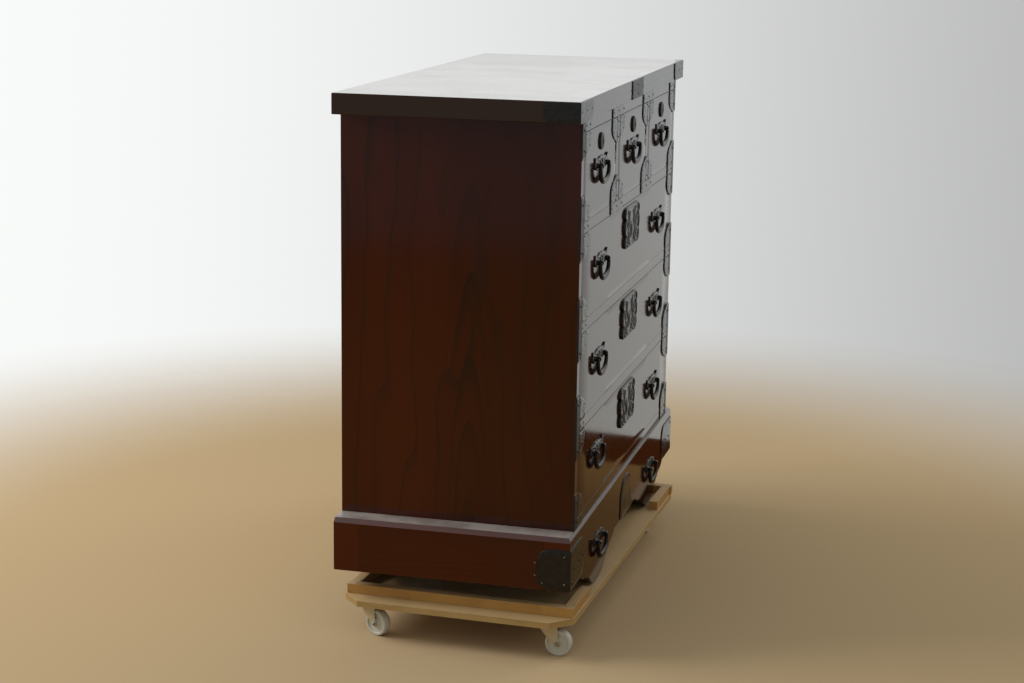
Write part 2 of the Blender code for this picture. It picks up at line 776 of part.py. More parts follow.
def makeDolly():
    z = casterHeight + seatGap
    c = deckCorner
    outline = [
        (c, 0), (deckLength - c, 0), (deckLength, c), (deckLength, deckDepth - c),
        (deckLength - c, deckDepth), (c, deckDepth), (0, deckDepth - c), (0, c),
    ]
    meshObject("dolly_deck", plateMesh([outline], z, deckTop, "XY"), (0, 0, 0), plywood, dolly)
    low, high = deckTop + seatGap, deckTop + seatGap + batten
    y0, y1 = battenFrontInset, deckDepth - battenBackInset
    near = nearBattenInset + batten
    far = deckLength - farFoot + farBattenFootReach
    nearEnd = nearFoot - battenFootClear
    boxObject("batten_side_left", (nearBattenInset, y0, low), (near, y1, high), pine, dolly)
    boxObject("batten_side_right", (far, 0, low), (far + batten, y1, high), pine, dolly)
    front = (y0 + battenFrontInset / 2, y0 + battenFrontInset / 2 + batten)
    back = (deckDepth - backBattenInset - batten, deckDepth - backBattenInset)
    spans = (
        ("batten_front_left", near + seatGap, nearEnd, front),
        ("batten_front_right", far - seatGap - farShortBatten, far - seatGap, front),
        ("batten_back_left", near + seatGap, nearEnd, back),
    )
    for name, x0, x1, y in spans:
        boxObject(name, (x0, y[0], low), (x1, y[1], high), pine, dolly)


def casterPlaces():
    """Name, swivel place on the deck and trail angle of each caster."""
    xs = (nearCasterInset, deckLength - farCasterInset)
    ys = (casterFrontInset, deckDepth - casterBackInset)
    places = [(xs[0], ys[0]), (xs[0], ys[1]), (xs[1], ys[0]), (xs[1], ys[1])]
    names = ("front_left", "back_left", "front_right", "back_right")
    return [(n, p, math.radians(t)) for n, p, t in zip(names, places, casterTurns)]


def makeCasterPlate(name, place):
    """The plate under the deck, its screw heads, and the king pin whose head holds the fork's crown."""
    top = casterHeight
    low = top - casterPlate
    crownBottom = low - seatGap - forkCrownThickness
    x, y = casterPlateX / 2, casterPlateY / 2
    base = newEmpty("caster_" + name, (*place, 0), dolly)
    plate = boxObject("caster_plate_" + name, (-x, -y, low), (x, y, top), zinc, base)
    headLow = crownBottom - seatGap - kingPinHeadThickness
    pinTop = low + casterPlate / 2
    meshes = [
        cylinderMesh(kingPin, pinTop - headLow, (0, 0, (pinTop + headLow) / 2)),
        cylinderMesh(kingPinHead, kingPinHeadThickness, (0, 0, headLow + kingPinHeadThickness / 2)),
    ]
    for sx in (-1, 1):
        for sy in (-1, 1):
            x = sx * (casterPlateX / 2 - casterBoltInset)
            y = sy * (casterPlateY / 2 - casterBoltInset)
            depth = casterBoltHead + casterPlate / 2
            z = low - casterBoltHead + depth / 2
            meshes.append(cylinderMesh(casterBolt, depth, (x, y, z), steps=6))
    centre = plate.location
    unite(plate, hidden(plate.name + "_pin", moved(joined(meshes), -centre), plate.parent, centre))
    return plate.parent


def makeFork(name, parent, turn):
    """A crown ring, two tapered legs and the axle. It turns about the king pin."""
    crownTop = casterHeight - casterPlate - seatGap
    crownLow = crownTop - forkCrownThickness
    ring = arc((0, 0), forkCrown, 0, 340, 18)
    hole = arc((0, 0), forkHole, 0, 330, 12)
    crown = plateMesh([ring, hole], crownLow, crownTop, "XY")
    fork = meshObject("caster_fork_" + name, crown, (0, 0, 0), cream, parent)
    fork.rotation_euler = (0, 0, turn)
    inner = wheelWidth / 2 + forkGap
    # The leg runs from the crown down to a round toe at the axle, in the XZ plane of the trail
    toe = arc((casterTrail, wheelRadius), forkLegToe, -130, 20, 6)
    neck = math.sqrt(forkCrown ** 2 - (inner + forkLeg) ** 2)
    leg = [(neck, crownTop), (-neck, crownTop), (-neck, crownLow)] + toe + [(neck, crownLow)]
    meshes = [plateMesh([leg], inner, inner + forkLeg), plateMesh([leg], -inner - forkLeg, -inner)]
    length = 2 * (inner + forkLeg + nutThickness)
    meshes.append(cylinderMesh(axleRadius, length, (casterTrail, 0, wheelRadius), "Y"))
    for side in (-1, 1):
        nutY = side * (inner + forkLeg + nutThickness / 4)
        meshes.append(cylinderMesh(axleNut, nutThickness, (casterTrail, nutY, wheelRadius), "Y", 6))
    unite(fork, hidden(fork.name + "_legs", joined(meshes), parent))
    bpy.data.objects[fork.name + "_legs"].rotation_euler = (0, 0, turn)
    return fork


def makeWheel(name, fork):
    """A turned wheel: a closed profile round its bore, with a hub, a dished web and a raised rim."""
    half = wheelWidth / 2
    right = [(wheelBore, half)] + [(wheelRadius * u, half * v) for u, v in wheelShares]
    profile = right + [(r, -y) for r, y in right[::-1]]
    bm = bmesh.new()
    verts = [bm.verts.new((r, 0, y)) for r, y in profile]
    for i, vert in enumerate(verts):
        bm.edges.new((vert, verts[(i + 1) % len(verts)]))
    wheel = meshObject("caster_wheel_" + name, bm, (casterTrail, 0, wheelRadius), nylon, fork)
    wheel.rotation_euler = (math.pi / 2, 0, 0)
    screw = wheel.modifiers.new("turned", "SCREW")
    screw.axis = "Z"
    screw.steps = wheelSteps
    screw.render_steps = wheelSteps
    screw.use_merge_vertices = True
    screw.merge_threshold = seatGap / roundSteps
    return wheel


def makeCasters():
    for name, place, turn in casterPlaces():
        base = makeCasterPlate(name, place)
        fork = makeFork(name, base, turn)
        makeWheel(name, fork)


clearScene()
parts = newCollection("wheeled_tansu_chest")
cutters = newCollection("cutters")
lacquer = newMaterial("red_brown_lacquer", (0.045, 0.012, 0.007), 0.12)
innerWood = newMaterial("plain_paulownia", (0.50, 0.36, 0.22), 0.6)
ironPaint = newMaterial("black_iron", (0.018, 0.020, 0.018), 0.42, 0.6)
plywood = newMaterial("plywood", (0.62, 0.48, 0.30), 0.6)
pine = newMaterial("pine", (0.72, 0.55, 0.30), 0.55)
zinc = newMaterial("zinc_plate", (0.55, 0.54, 0.50), 0.35, 0.9)
cream = newMaterial("cream_painted_steel", (0.66, 0.61, 0.48), 0.4, 0.2)
nylon = newMaterial("white_nylon", (0.78, 0.77, 0.72), 0.45)

chest = newEmpty("chest", (chestX, chestY, plinthTop))
dolly = newEmpty("dolly", (chestX + dollyCornerX, chestY + dollyCornerY, 0), None, -dollySkew)
makeBody()
makeSlabCorners(makeSlab())
makePlinth()
makeDrawers()
makeDolly()
makeCasters()
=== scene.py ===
import json
import math

import bmesh
import bpy
import numpy as np
from mathutils import Matrix, Vector


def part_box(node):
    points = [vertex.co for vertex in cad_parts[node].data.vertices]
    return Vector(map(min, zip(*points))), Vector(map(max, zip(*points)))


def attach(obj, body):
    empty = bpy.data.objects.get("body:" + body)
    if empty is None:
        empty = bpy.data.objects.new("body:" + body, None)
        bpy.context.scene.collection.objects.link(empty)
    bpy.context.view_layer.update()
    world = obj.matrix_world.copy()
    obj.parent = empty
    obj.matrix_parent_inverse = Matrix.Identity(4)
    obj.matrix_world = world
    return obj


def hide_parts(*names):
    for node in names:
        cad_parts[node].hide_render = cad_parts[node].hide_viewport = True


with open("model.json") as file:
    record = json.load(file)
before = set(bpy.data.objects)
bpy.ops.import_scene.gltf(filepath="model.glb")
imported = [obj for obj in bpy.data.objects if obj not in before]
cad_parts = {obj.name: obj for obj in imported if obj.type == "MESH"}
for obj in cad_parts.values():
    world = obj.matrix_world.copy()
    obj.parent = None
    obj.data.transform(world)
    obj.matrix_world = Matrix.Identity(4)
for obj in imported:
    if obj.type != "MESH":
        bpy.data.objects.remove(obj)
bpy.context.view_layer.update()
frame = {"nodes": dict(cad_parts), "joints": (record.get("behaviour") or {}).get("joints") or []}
nodes = frame["nodes"]
joints = {j["name"]: j for j in frame["joints"]}
print("frame loaded,", len(nodes), "nodes")


# Places taken from the frame, in metres

def span(node):
    low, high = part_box(node)
    return np.array(low), np.array(high)


ironSheet = 0.0015      # the sheet of the fittings, as the solids have it
seatGap = 0.0003
backLow, backHigh = span("back_panel")
slabLow, slabHigh = span("top_slab")
plinthLow = span("plinth_left")[0]
plinthBackLow, plinthBackHigh = span("plinth_back")
chestMid = (backLow[0] + backHigh[0]) / 2
faceY = span("shelf_1")[0][1] + ironSheet
slabFaceY = slabLow[1] + ironSheet
plinthFaceY = plinthLow[1] - seatGap - (plinthBackHigh[1] - plinthBackLow[1])
bodyBottom = backLow[2] - seatGap
bodyTop = backHigh[2]
sideFaces = (span("side_left")[0][0] + ironSheet, span("side_right")[1][0] - ironSheet)
innerFaces = (span("shelf_1")[0][0] - seatGap, span("shelf_1")[1][0] + seatGap)


# Camera at the photograph's angle

cameraView = {
    "place": (-3.96785, -0.97601, 1.3797),
    "azimuth": -75.685,
    "elevation": 12.35,
    "roll": 0.838,
    "lens": 70.76,
}


def makeCamera(view):
    az, el, roll = (math.radians(view[k]) for k in ("azimuth", "elevation", "roll"))
    back = np.array([math.sin(az) * math.cos(el), -math.cos(az) * math.cos(el), math.sin(el)])
    right = np.array([math.cos(az), math.sin(az), 0.0])
    up = np.cross(back, right)
    turnedRight = math.cos(roll) * right + math.sin(roll) * up
    turnedUp = math.cos(roll) * up - math.sin(roll) * right
    camera = bpy.data.objects.new("camera", bpy.data.cameras.new("camera"))
    bpy.context.scene.collection.objects.link(camera)
    camera.data.lens = view["lens"]
    camera.data.sensor_width = 36.0
    camera.data.clip_end = 60.0
    columns = np.column_stack([turnedRight, turnedUp, back, view["place"]])
    camera.matrix_world = Matrix([*columns.tolist(), [0, 0, 0, 1]])
    bpy.context.scene.camera = camera


makeCamera(cameraView)
bpy.context.scene.view_settings.view_transform = "Standard"


# Small helpers for node trees

def feed(tree, socket, value):
    # Links an output to the socket, or sets a plain value there; a colour of three gets its alpha
    if isinstance(value, bpy.types.NodeSocket):
        tree.links.new(value, socket)
    elif socket.type == "RGBA" and len(value) == 3:
        socket.default_value = (*value, 1.0)
    else:
        socket.default_value = value


def addNode(tree, kind, values=None, **settings):
    node = tree.nodes.new("ShaderNode" + kind)
    for key, value in settings.items():
        setattr(node, key, value)
    for key, value in (values or {}).items():
        feed(tree, node.inputs[key], value)
    return node


def doMath(tree, operation, *values):
    return addNode(tree, "Math", dict(enumerate(values)), operation=operation).outputs[0]


def times(tree, first, second):
    return doMath(tree, "MULTIPLY", first, second)


def addTimes(tree, first, second, start):
    return doMath(tree, "MULTIPLY_ADD", first, second, start)


def mixColors(tree, share, first, second):
    return addNode(tree, "Mix", {0: share, 6: first, 7: second}, data_type="RGBA").outputs[2]


def mixValues(tree, share, first, second):
    return addNode(tree, "Mix", {0: share, 2: first, 3: second}, data_type="FLOAT").outputs[0]


def ramp(tree, value, low, high, outLow=0.0, outHigh=1.0):
    limits = {0: value, 1: low, 2: high, 3: outLow, 4: outHigh}
    return addNode(tree, "MapRange", limits, interpolation_type="SMOOTHSTEP").outputs[0]


def splitAxes(tree, vector):
    return addNode(tree, "SeparateXYZ", {0: vector}).outputs


def faceNormal(tree):
    return addNode(tree, "NewGeometry").outputs["Normal"]


def objectPlace(tree):
    return addNode(tree, "TexCoord").outputs["Object"]


def turnPlace(tree, place, turn, shift=(0, 0, 0)):
    turn = tuple(math.radians(a) for a in turn)
    return addNode(tree, "Mapping", {"Vector": place, "Location": shift, "Rotation": turn}).outputs[0]


def stretchedNoise(tree, place, stretch, detail):
    vector = addNode(tree, "VectorMath", {0: place, 1: stretch}, operation="MULTIPLY").outputs[0]
    return addNode(tree, "TexNoise", {"Vector": vector, "Scale": 1.0, "Detail": detail}).outputs[0]


def bumpNormal(tree, strength, distance, height, normal):
    values = {"Strength": strength, "Distance": distance, "Height": height, "Normal": normal}
    return addNode(tree, "Bump", values).outputs[0]


def newGroup(name, inputs, outputs):
    # Inputs are floats with a start value, or a vector where that value is None
    group = bpy.data.node_groups.new(name, "ShaderNodeTree")
    for label, value in inputs.items():
        kind = "NodeSocketVector" if value is None else "NodeSocketFloat"
        socket = group.interface.new_socket(label, in_out="INPUT", socket_type=kind)
        if value is not None:
            socket.default_value = value
    for label, kind in outputs.items():
        group.interface.new_socket(label, in_out="OUTPUT", socket_type="NodeSocket" + kind)
    return group, group.nodes.new("NodeGroupInput").outputs, group.nodes.new("NodeGroupOutput").inputs


def placeGroup(tree, group, values):
    return addNode(tree, "Group", values, node_tree=group).outputs


def newMaterial(name):
    mat = bpy.data.materials.new(name)
    mat.use_nodes = True
    return mat, mat.node_tree, mat.node_tree.nodes["Principled BSDF"]


def connect(tree, shader, values):
    for key, value in values.items():
        feed(tree, shader.inputs[key], value)


# Node groups shared by the finishes

grainLook = {
    "slow": (5.0, 5.0, 0.9),          # how often each noise changes across, into and along the board
    "flow": (9.0, 9.0, 2.2),
    "fine": (60.0, 60.0, 4.0),
    "pore": (900.0, 900.0, 45.0),
    "fineReach": 0.0016,
    "lateEnd": 0.97,                  # share of a ring at which its dark late wood stops
}


def makeGrainGroup():
    # Growth rings of a board cut beside the middle of a slightly tapered log. Ring radius is the length of
    # (across * squeeze, depth + taper * along + a slow wander), bent by a flow; a ring darkens towards its late
    # wood, and some rings stay faint.
    group, given, out = newGroup("boardGrain", {
        "Place": None, "Ring spacing": 0.012, "Depth": 0.05, "Taper": 0.06, "Wander": 0.03, "Pores": 1.0,
        "Squeeze": 1.0, "Flow": 0.004, "Faintest": 0.35, "Late start": 0.45},
        {"Rings": "Float", "Pores": "Float", "Tone": "Float"})
    place = given["Place"]
    axes = splitAxes(group, place)
    slow = stretchedNoise(group, place, grainLook["slow"], 2.0)
    flow = stretchedNoise(group, place, grainLook["flow"], 2.0)
    fine = stretchedNoise(group, place, grainLook["fine"], 3.0)
    pore = stretchedNoise(group, place, grainLook["pore"], 1.0)

    def bend(value, noise, reach):
        return addTimes(group, doMath(group, "SUBTRACT", noise, 0.5), reach, value)

    depth = bend(addTimes(group, axes[2], given["Taper"], given["Depth"]), slow, given["Wander"])
    across = times(group, axes[0], given["Squeeze"])
    radius = doMath(group, "SQRT", addTimes(group, depth, depth, times(group, across, across)))
    radius = bend(bend(radius, fine, grainLook["fineReach"]), flow, given["Flow"])
    turns = doMath(group, "DIVIDE", radius, given["Ring spacing"])
    share = doMath(group, "FRACT", turns)
    rings = times(group, ramp(group, share, given["Late start"], grainLook["lateEnd"]),
                  ramp(group, share, grainLook["lateEnd"], 1.0, 1.0, 0.0))
    ringPlace = addNode(group, "CombineXYZ", {0: doMath(group, "FLOOR", turns)}).outputs[0]
    unequal = addNode(group, "TexNoise", {"Vector": ringPlace, "Scale": 3.7, "Detail": 0.0}).outputs[0]
    rings = times(group, rings, mixValues(group, ramp(group, unequal, 0.4, 0.6), given["Faintest"], 1.0))
    rings = times(group, rings, ramp(group, flow, 0.30, 0.55, 0.45, 1.0))
    pores = times(group, ramp(group, pore, 0.58, 0.72), ramp(group, share, 0.0, 0.5, 1.0, 0.25))
    feed(group, out["Rings"], rings)
    feed(group, out["Pores"], times(group, pores, given["Pores"]))
    feed(group, out["Tone"], slow)
    return group


def makeSoftEdgeGroup():
    # A rounded arris and, with it, a mask of that edge
    group, given, out = newGroup("softEdge", {"Radius": 0.001}, {"Normal": "Vector", "Edge": "Float"})
    bevel = addNode(group, "Bevel", {"Radius": given["Radius"]}, samples=6).outputs[0]
    dot = addNode(group, "VectorMath", {0: bevel, 1: faceNormal(group)}, operation="DOT_PRODUCT")
    feed(group, out["Normal"], bevel)
    feed(group, out["Edge"], ramp(group, dot.outputs["Value"], 0.995, 0.9))
    return group


def makeSmudgeGroup():
    # Slow uneven patches and fine dust, both from 0 to 1
    group, given, out = newGroup("smudge", {"Place": None, "Size": 0.08}, {"Patches": "Float", "Dust": "Float"})
    scale = doMath(group, "DIVIDE", 1.0, given["Size"])
    patches = addNode(
        group, "TexNoise", {"Vector": given["Place"], "Scale": scale, "Detail": 4.0, "Roughness": 0.6})
    dust = addNode(group, "TexNoise", {"Vector": given["Place"], "Scale": 1400.0, "Detail": 1.0})
    feed(group, out["Patches"], ramp(group, patches.outputs[0], 0.35, 0.65))
    feed(group, out["Dust"], ramp(group, dust.outputs[0], 0.60, 0.75))
    return group


boardGrain = makeGrainGroup()
softEdge = makeSoftEdgeGroup()
smudge = makeSmudgeGroup()

lacquerLook = {
    "base": (0.062, 0.0088, 0.0017),
    "dark": (0.0150, 0.0052, 0.0026),
    "frontBase": (0.0320, 0.0084, 0.0036),
    "frontDark": (0.0110, 0.0042, 0.0024),
    "end": (0.032, 0.0160, 0.0080),
    "edge": (0.11, 0.045, 0.03),
    # dust: real dust and a painted sheen together, on what looks up
    "dust": (0.43, 0.375, 0.335),
    "rubbed": (0.30, 0.170, 0.160),
    "toneShade": 0.62,
    "paintedShadeToFront": (-0.20, 0.12, 0.26, 0.0),   # painted shade, from front to back of the sides: places, shares
    "flames": {"Ring spacing": 0.040, "Depth": 0.0, "Taper": 0.26, "Wander": 0.05, "Pores": 0.0,
               "Squeeze": 4.5, "Flow": 0.05, "Faintest": 0.3, "Late start": 0.3},
    "flameReach": (0.01, 0.055),             # distance from the board's middle where the flames start to fade
    "roughness": 0.09,
    "dustyRoughness": 0.38,
    "poreDepth": 0.00002,
    "patchSize": 0.12,
    "edgeRadius": 0.0008,
}


def makeLacquer(name, turn, shift=(0, 0, 0), spacing=0.010, depth=0.05, taper=0.05, wander=0.05,
                roughness=lacquerLook["roughness"], front=False, dustAndSheen=False, rings=0.75, squeeze=1.0,
                flow=0.006, faintest=0.35, relief=1.0, late=0.45, flames=0.0, ends="end"):
    # The red-brown lacquer over open grain. turn and shift bring the board's length to the pattern's Z. flames
    # is the strength of narrow tips stacked along the middle of the board.
    look = lacquerLook
    mat, tree, shader = newMaterial(name)
    place = objectPlace(tree)
    light, dark = (look[k] for k in (("frontBase", "frontDark") if front else ("base", "dark")))
    mapped = turnPlace(tree, place, turn, shift)
    grain = placeGroup(tree, boardGrain, {
        "Place": mapped, "Ring spacing": spacing, "Depth": depth, "Taper": taper, "Wander": wander, "Pores": 0.5,
        "Squeeze": squeeze, "Flow": flow, "Faintest": faintest, "Late start": late})
    patch = placeGroup(tree, smudge, {"Place": place, "Size": look["patchSize"]})
    soft = placeGroup(tree, softEdge, {"Radius": look["edgeRadius"]})
    tone = ramp(tree, grain["Tone"], 0.25, 0.75)
    ringShare = times(tree, grain["Rings"], rings)
    if flames:
        tips = placeGroup(tree, boardGrain, {"Place": mapped, **look["flames"]})
        near = ramp(tree, doMath(tree, "ABSOLUTE", splitAxes(tree, mapped)[0]), *look["flameReach"], flames, 0.0)
        ringShare = doMath(tree, "MAXIMUM", ringShare, times(tree, tips["Rings"], near))
    color = mixColors(tree, tone, light, tuple(c * look["toneShade"] for c in light))
    color = mixColors(tree, ringShare, color, dark)
    color = mixColors(tree, times(tree, grain["Pores"], 0.6), color, dark)
    facing = splitAxes(tree, faceNormal(tree))
    if front:
        sideways = ramp(tree, doMath(tree, "ABSOLUTE", facing[0]), 0.8, 0.95)
        color = mixColors(tree, sideways, color, look[ends])
    else:
        # Painted shade, darker towards the front edge; that edge's own face is finished like the drawers
        color = mixColors(tree, ramp(tree, splitAxes(tree, place)[1], *look["paintedShadeToFront"]), color, dark)
        color = mixColors(tree, ramp(tree, facing[1], -0.8, -0.95), color, look["frontBase"])
    color = mixColors(tree, times(tree, soft["Edge"], 0.10 if front else 0.35), color, look["edge"])
    rough = addTimes(tree, patch["Patches"], 0.02, roughness)
    rough = addTimes(tree, grain["Rings"], 0.04, rough)
    if dustAndSheen:
        # Dust with a painted sheen lies on what looks up, thickest away from the arris, and the arris itself is
        # rubbed pale
        flat = ramp(tree, facing[2], 0.80, 0.98)
        slope = doMath(tree, "SUBTRACT", ramp(tree, facing[2], 0.3, 0.6), flat)
        dustAndSheenShare = times(tree, flat, ramp(tree, patch["Patches"], 0.0, 1.0, 0.55, 0.95))
        color = mixColors(tree, dustAndSheenShare, color, look["dust"])
        color = mixColors(tree, times(tree, slope, 0.25), color, look["rubbed"])
        rough = mixValues(tree, doMath(tree, "MAXIMUM", flat, slope), rough, look["dustyRoughness"])
    height = addTimes(tree, grain["Rings"], -0.6, times(tree, grain["Pores"], -1.0))
    normal = bumpNormal(tree, 0.5, look["poreDepth"] * relief, height, soft["Normal"])
    connect(tree, shader, {"Base Color": color, "Roughness": rough, "Normal": normal, "IOR": 1.5})
    return mat


ironLook = {
    "color": (0.0085, 0.0090, 0.0080),
    "worn": (0.040, 0.039, 0.036),
    "hammer": 0.0003,
    "hammerScale": 320.0,
    "unevenness": 0.08,         # of the roughness
    "patchSize": 0.012,
    "edgeRadius": 0.0004,
}


def makeIron(name, roughness, wornShare, hammerShare=0.35, gloss=0.5):
    # Black lacquered iron: satin, a little mottled, thin on its edges
    look = ironLook
    mat, tree, shader = newMaterial(name)
    place = objectPlace(tree)
    patch = placeGroup(tree, smudge, {"Place": place, "Size": look["patchSize"]})
    soft = placeGroup(tree, softEdge, {"Radius": look["edgeRadius"]})
    dents = addNode(tree, "TexNoise", {"Vector": place, "Scale": look["hammerScale"], "Detail": 3.0}).outputs[0]
    color = mixColors(tree, patch["Patches"], look["color"], tuple(c * 1.6 for c in look["color"]))
    color = mixColors(tree, times(tree, soft["Edge"], wornShare), color, look["worn"])
    rough = addTimes(tree, patch["Patches"], look["unevenness"], roughness)
    normal = bumpNormal(tree, hammerShare, look["hammer"], dents, soft["Normal"])
    connect(tree, shader, {
        "Base Color": color, "Roughness": rough, "Normal": normal, "IOR": 1.5, "Specular IOR Level": gloss})
    return mat


rawWood = {
    "knot": (0.060, 0.030, 0.010),
    "pine": (0.46, 0.245, 0.058),
    "pineLate": (0.32, 0.145, 0.028),
    "deck": (0.45, 0.300, 0.110),
    "deckLate": (0.31, 0.180, 0.052),
    "inside": (0.55, 0.42, 0.27),
    "insideLate": (0.40, 0.28, 0.16),
    "arris": (0.75, 0.600, 0.360),
    # the paler colour painted on what looks up, as painted light
    "paintedTopLight": (0.66, 0.445, 0.225),
    "roughness": 0.5,
    "wander": 0.03,
    "knotsPerMetre": 9.0,
    "patchSize": 0.05,
    "edgeRadius": 0.0006,
    "poreDepth": 0.0002,
}


def makeRawWood(name, kind, turn, spacing, depth, taper, knots=0.0):
    # Unfinished softwood: rings, fine fibres, a few knots, a rough dry surface
    look = rawWood
    mat, tree, shader = newMaterial(name)
    place = objectPlace(tree)
    light, dark = look[kind], look[kind + "Late"]
    grain = placeGroup(tree, boardGrain, {
        "Place": turnPlace(tree, place, turn), "Ring spacing": spacing, "Depth": depth, "Taper": taper,
        "Wander": look["wander"]})
    patch = placeGroup(tree, smudge, {"Place": place, "Size": look["patchSize"]})
    soft = placeGroup(tree, softEdge, {"Radius": look["edgeRadius"]})
    color = mixColors(tree, times(tree, grain["Rings"], 0.55), light, dark)
    color = mixColors(tree, times(tree, patch["Patches"], 0.25), color, dark)
    if knots:
        spots = addNode(tree, "TexVoronoi", {"Vector": place, "Scale": look["knotsPerMetre"]})
        near = spots.outputs["Distance"]
        color = mixColors(tree, ramp(tree, near, knots * 0.6, knots, 0.85, 0.0), color, look["knot"])
    # Painted light: what looks up is a little paler and less yellow
    up = ramp(tree, splitAxes(tree, faceNormal(tree))[2], 0.80, 0.98, 0.0, 0.6)
    color = mixColors(tree, up, color, look["paintedTopLight"])
    # Arrises are made paler along their rounding
    color = mixColors(tree, times(tree, soft["Edge"], 0.6), color, look["arris"])
    height = doMath(tree, "ADD", grain["Rings"], grain["Pores"])
    normal = bumpNormal(tree, 0.6, look["poreDepth"], height, soft["Normal"])
    connect(tree, shader, {"Base Color": color, "Roughness": look["roughness"], "Normal": normal})
    return mat


plainLook = {
    "mottle": 0.15, "mottleShade": 0.55,
    "dust": 0.25, "dustShade": 0.6,
    "dustRelief": 0.0002,
    "unevenness": 0.12,         # of the roughness
    "edgeRadius": 0.0006,
}


def makePlain(name, color, roughness, metallic, patchSize=0.01):
    # A moulded or plated surface with faint mottling and soft edges
    look = plainLook
    mat, tree, shader = newMaterial(name)
    patch = placeGroup(tree, smudge, {"Place": objectPlace(tree), "Size": patchSize})
    soft = placeGroup(tree, softEdge, {"Radius": look["edgeRadius"]})
    mottled, dustAndSheen = (tuple(c * look[k] for c in color) for k in ("mottleShade", "dustShade"))
    base = mixColors(tree, times(tree, patch["Patches"], look["mottle"]), color, mottled)
    base = mixColors(tree, times(tree, patch["Dust"], look["dust"]), base, dustAndSheen)
    rough = addTimes(tree, patch["Patches"], look["unevenness"], roughness)
    normal = bumpNormal(tree, 0.15, look["dustRelief"], patch["Dust"], soft["Normal"])
    connect(tree, shader, {"Base Color": base, "Roughness": rough, "Metallic": metallic, "Normal": normal})
    return mat


sideLacquer = makeLacquer(
    "sideLacquer", (0, 0, 90), (0, 0, 0.34), spacing=0.050, depth=0.0, taper=0.09, wander=0.10, rings=0.60,
    squeeze=1.1, flow=0.16, faintest=0.10, late=0.72, flames=0.85)
frontLacquer = makeLacquer("frontLacquer", (0, 90, 0), front=True, rings=0.5, relief=2.0)
topLacquer = makeLacquer(
    "topLacquer", (90, 0, 90), spacing=0.014, roughness=0.12, front=True, flow=0.03, relief=3.0)
plinthLacquer = makeLacquer(
    "plinthLacquer", (90, 0, 90), (-0.10, 0, 0), spacing=0.012, dustAndSheen=True, rings=0.40, flow=0.05, faintest=0.1,
    late=0.6)
plinthFrontLacquer = makeLacquer(
    "plinthFrontLacquer", (0, 90, 0), front=True, dustAndSheen=True, rings=0.5, ends="base")
blackIron = makeIron("blackIron", 0.42, 0.25)
frontIron = makeIron("frontIron", 0.17, 0.2, 0.15)
cornerIron = makeIron("cornerIron", 0.25, 0.25)
castIron = makeIron("castIron", 0.30, 0.2, 0.6, 0.35)
lockIron = makeIron("lockIron", 0.20, 0.15, 0.3)
roundIron = makeIron("roundIron", 0.34, 0.15, 0.3)
insideWood = makeRawWood("insideWood", "inside", (0, 90, 0), 0.006, 0.08, 0.03)
pineX = makeRawWood("pineAlongX", "pine", (0, 90, 0), 0.004, 0.05, 0.02)
pineY = makeRawWood("pineAlongY", "pine", (90, 0, 0), 0.004, 0.05, 0.02)
plywood = makeRawWood("plywood", "deck", (0, 90, 0), 0.011, 0.09, 0.05, knots=0.07)
nylon = makePlain("nylon", (0.57, 0.56, 0.47), 0.42, 0.0)
zinc = makePlain("zinc", (0.50, 0.50, 0.47), 0.32, 0.85)
nailSteel = makePlain("nailSteel", (0.42, 0.41, 0.38), 0.28, 0.9, patchSize=0.004)
creamSteel = makePlain("creamSteel", (0.58, 0.49, 0.30), 0.35, 0.1)
print("finishes made")

drawerNames = ("drawer_1a", "drawer_1b", "drawer_1c", "drawer_2", "drawer_3", "drawer_4")
casterNames = ("front_left", "back_left", "front_right", "back_right")
sideNames = ("left", "right")
bailNames = [n for n in nodes if "_bail" in n]
longBattens = ["batten_side_left", "batten_side_right"]
shortBattens = ["batten_front_left", "batten_front_right", "batten_back_left"]


def finishNodes(mat, names):
    for name in names:
        nodes[name].data.materials.clear()
        nodes[name].data.materials.append(mat)


finishNodes(sideLacquer, ["side_left", "side_right", "partition_1", "partition_2"])
finishNodes(frontLacquer, ["shelf_1", "shelf_2", "shelf_3", "bottom_board", "top_rail"])
finishNodes(frontLacquer, [d + "_front" for d in drawerNames])
finishNodes(topLacquer, ["top_slab"])
finishNodes(plinthLacquer, ["plinth_left", "plinth_right"])
finishNodes(plinthFrontLacquer, ["plinth_front", "plinth_back"])
finishNodes(insideWood, ["back_panel"] + [d + "_tray" for d in drawerNames])
finishNodes(plywood, ["dolly_deck"])
finishNodes(pineY, longBattens)
finishNodes(pineX, shortBattens)
finishNodes(blackIron, [k + "_corner_" + s for k in ("slab", "plinth") for s in sideNames] + bailNames)
finishNodes(zinc, ["caster_plate_" + c for c in casterNames])
finishNodes(creamSteel, ["caster_fork_" + c for c in casterNames])
finishNodes(nylon, ["caster_wheel_" + c for c in casterNames])


# Shapes as arrays: (points, quads, triangles). A flat plate is first laid out as (across, up, proud).

noTris = np.zeros((0, 3), int)


def circle(steps):
    return np.linspace(0, 2 * math.pi, steps, endpoint=False)


def mirrored(right):
    # A right half, from its top to its foot, closed by its mirror image
    right = np.asarray(right, float)
    return np.vstack([right, (right * (-1, 1))[1:-1][::-1]])


def gridQuads(rows, columns, wrapRows=False, wrapColumns=False):
    row = np.arange(rows if wrapRows else rows - 1)[:, None]
    column = np.arange(columns if wrapColumns else columns - 1)[None, :]
    nextRow, nextColumn = (row + 1) % rows, (column + 1) % columns
    corners = [row * columns + column, row * columns + nextColumn, nextRow * columns + nextColumn,
               nextRow * columns + column]
    return np.stack(np.broadcast_arrays(*corners), -1).reshape(-1, 4)


def fan(pole, ring, flip=False):
    tris = np.column_stack([np.full(len(ring), pole), ring, np.roll(ring, -1)])
    return tris[:, ::-1] if flip else tris


def capped(points, rows, steps):
    # Rows of closed rings, shut at both ends by fans round the last two points
    ring = np.arange(steps)
    tris = np.vstack([fan(rows * steps, ring), fan(rows * steps + 1, ring + (rows - 1) * steps, True)])
    return points, gridQuads(rows, steps, wrapColumns=True), tris


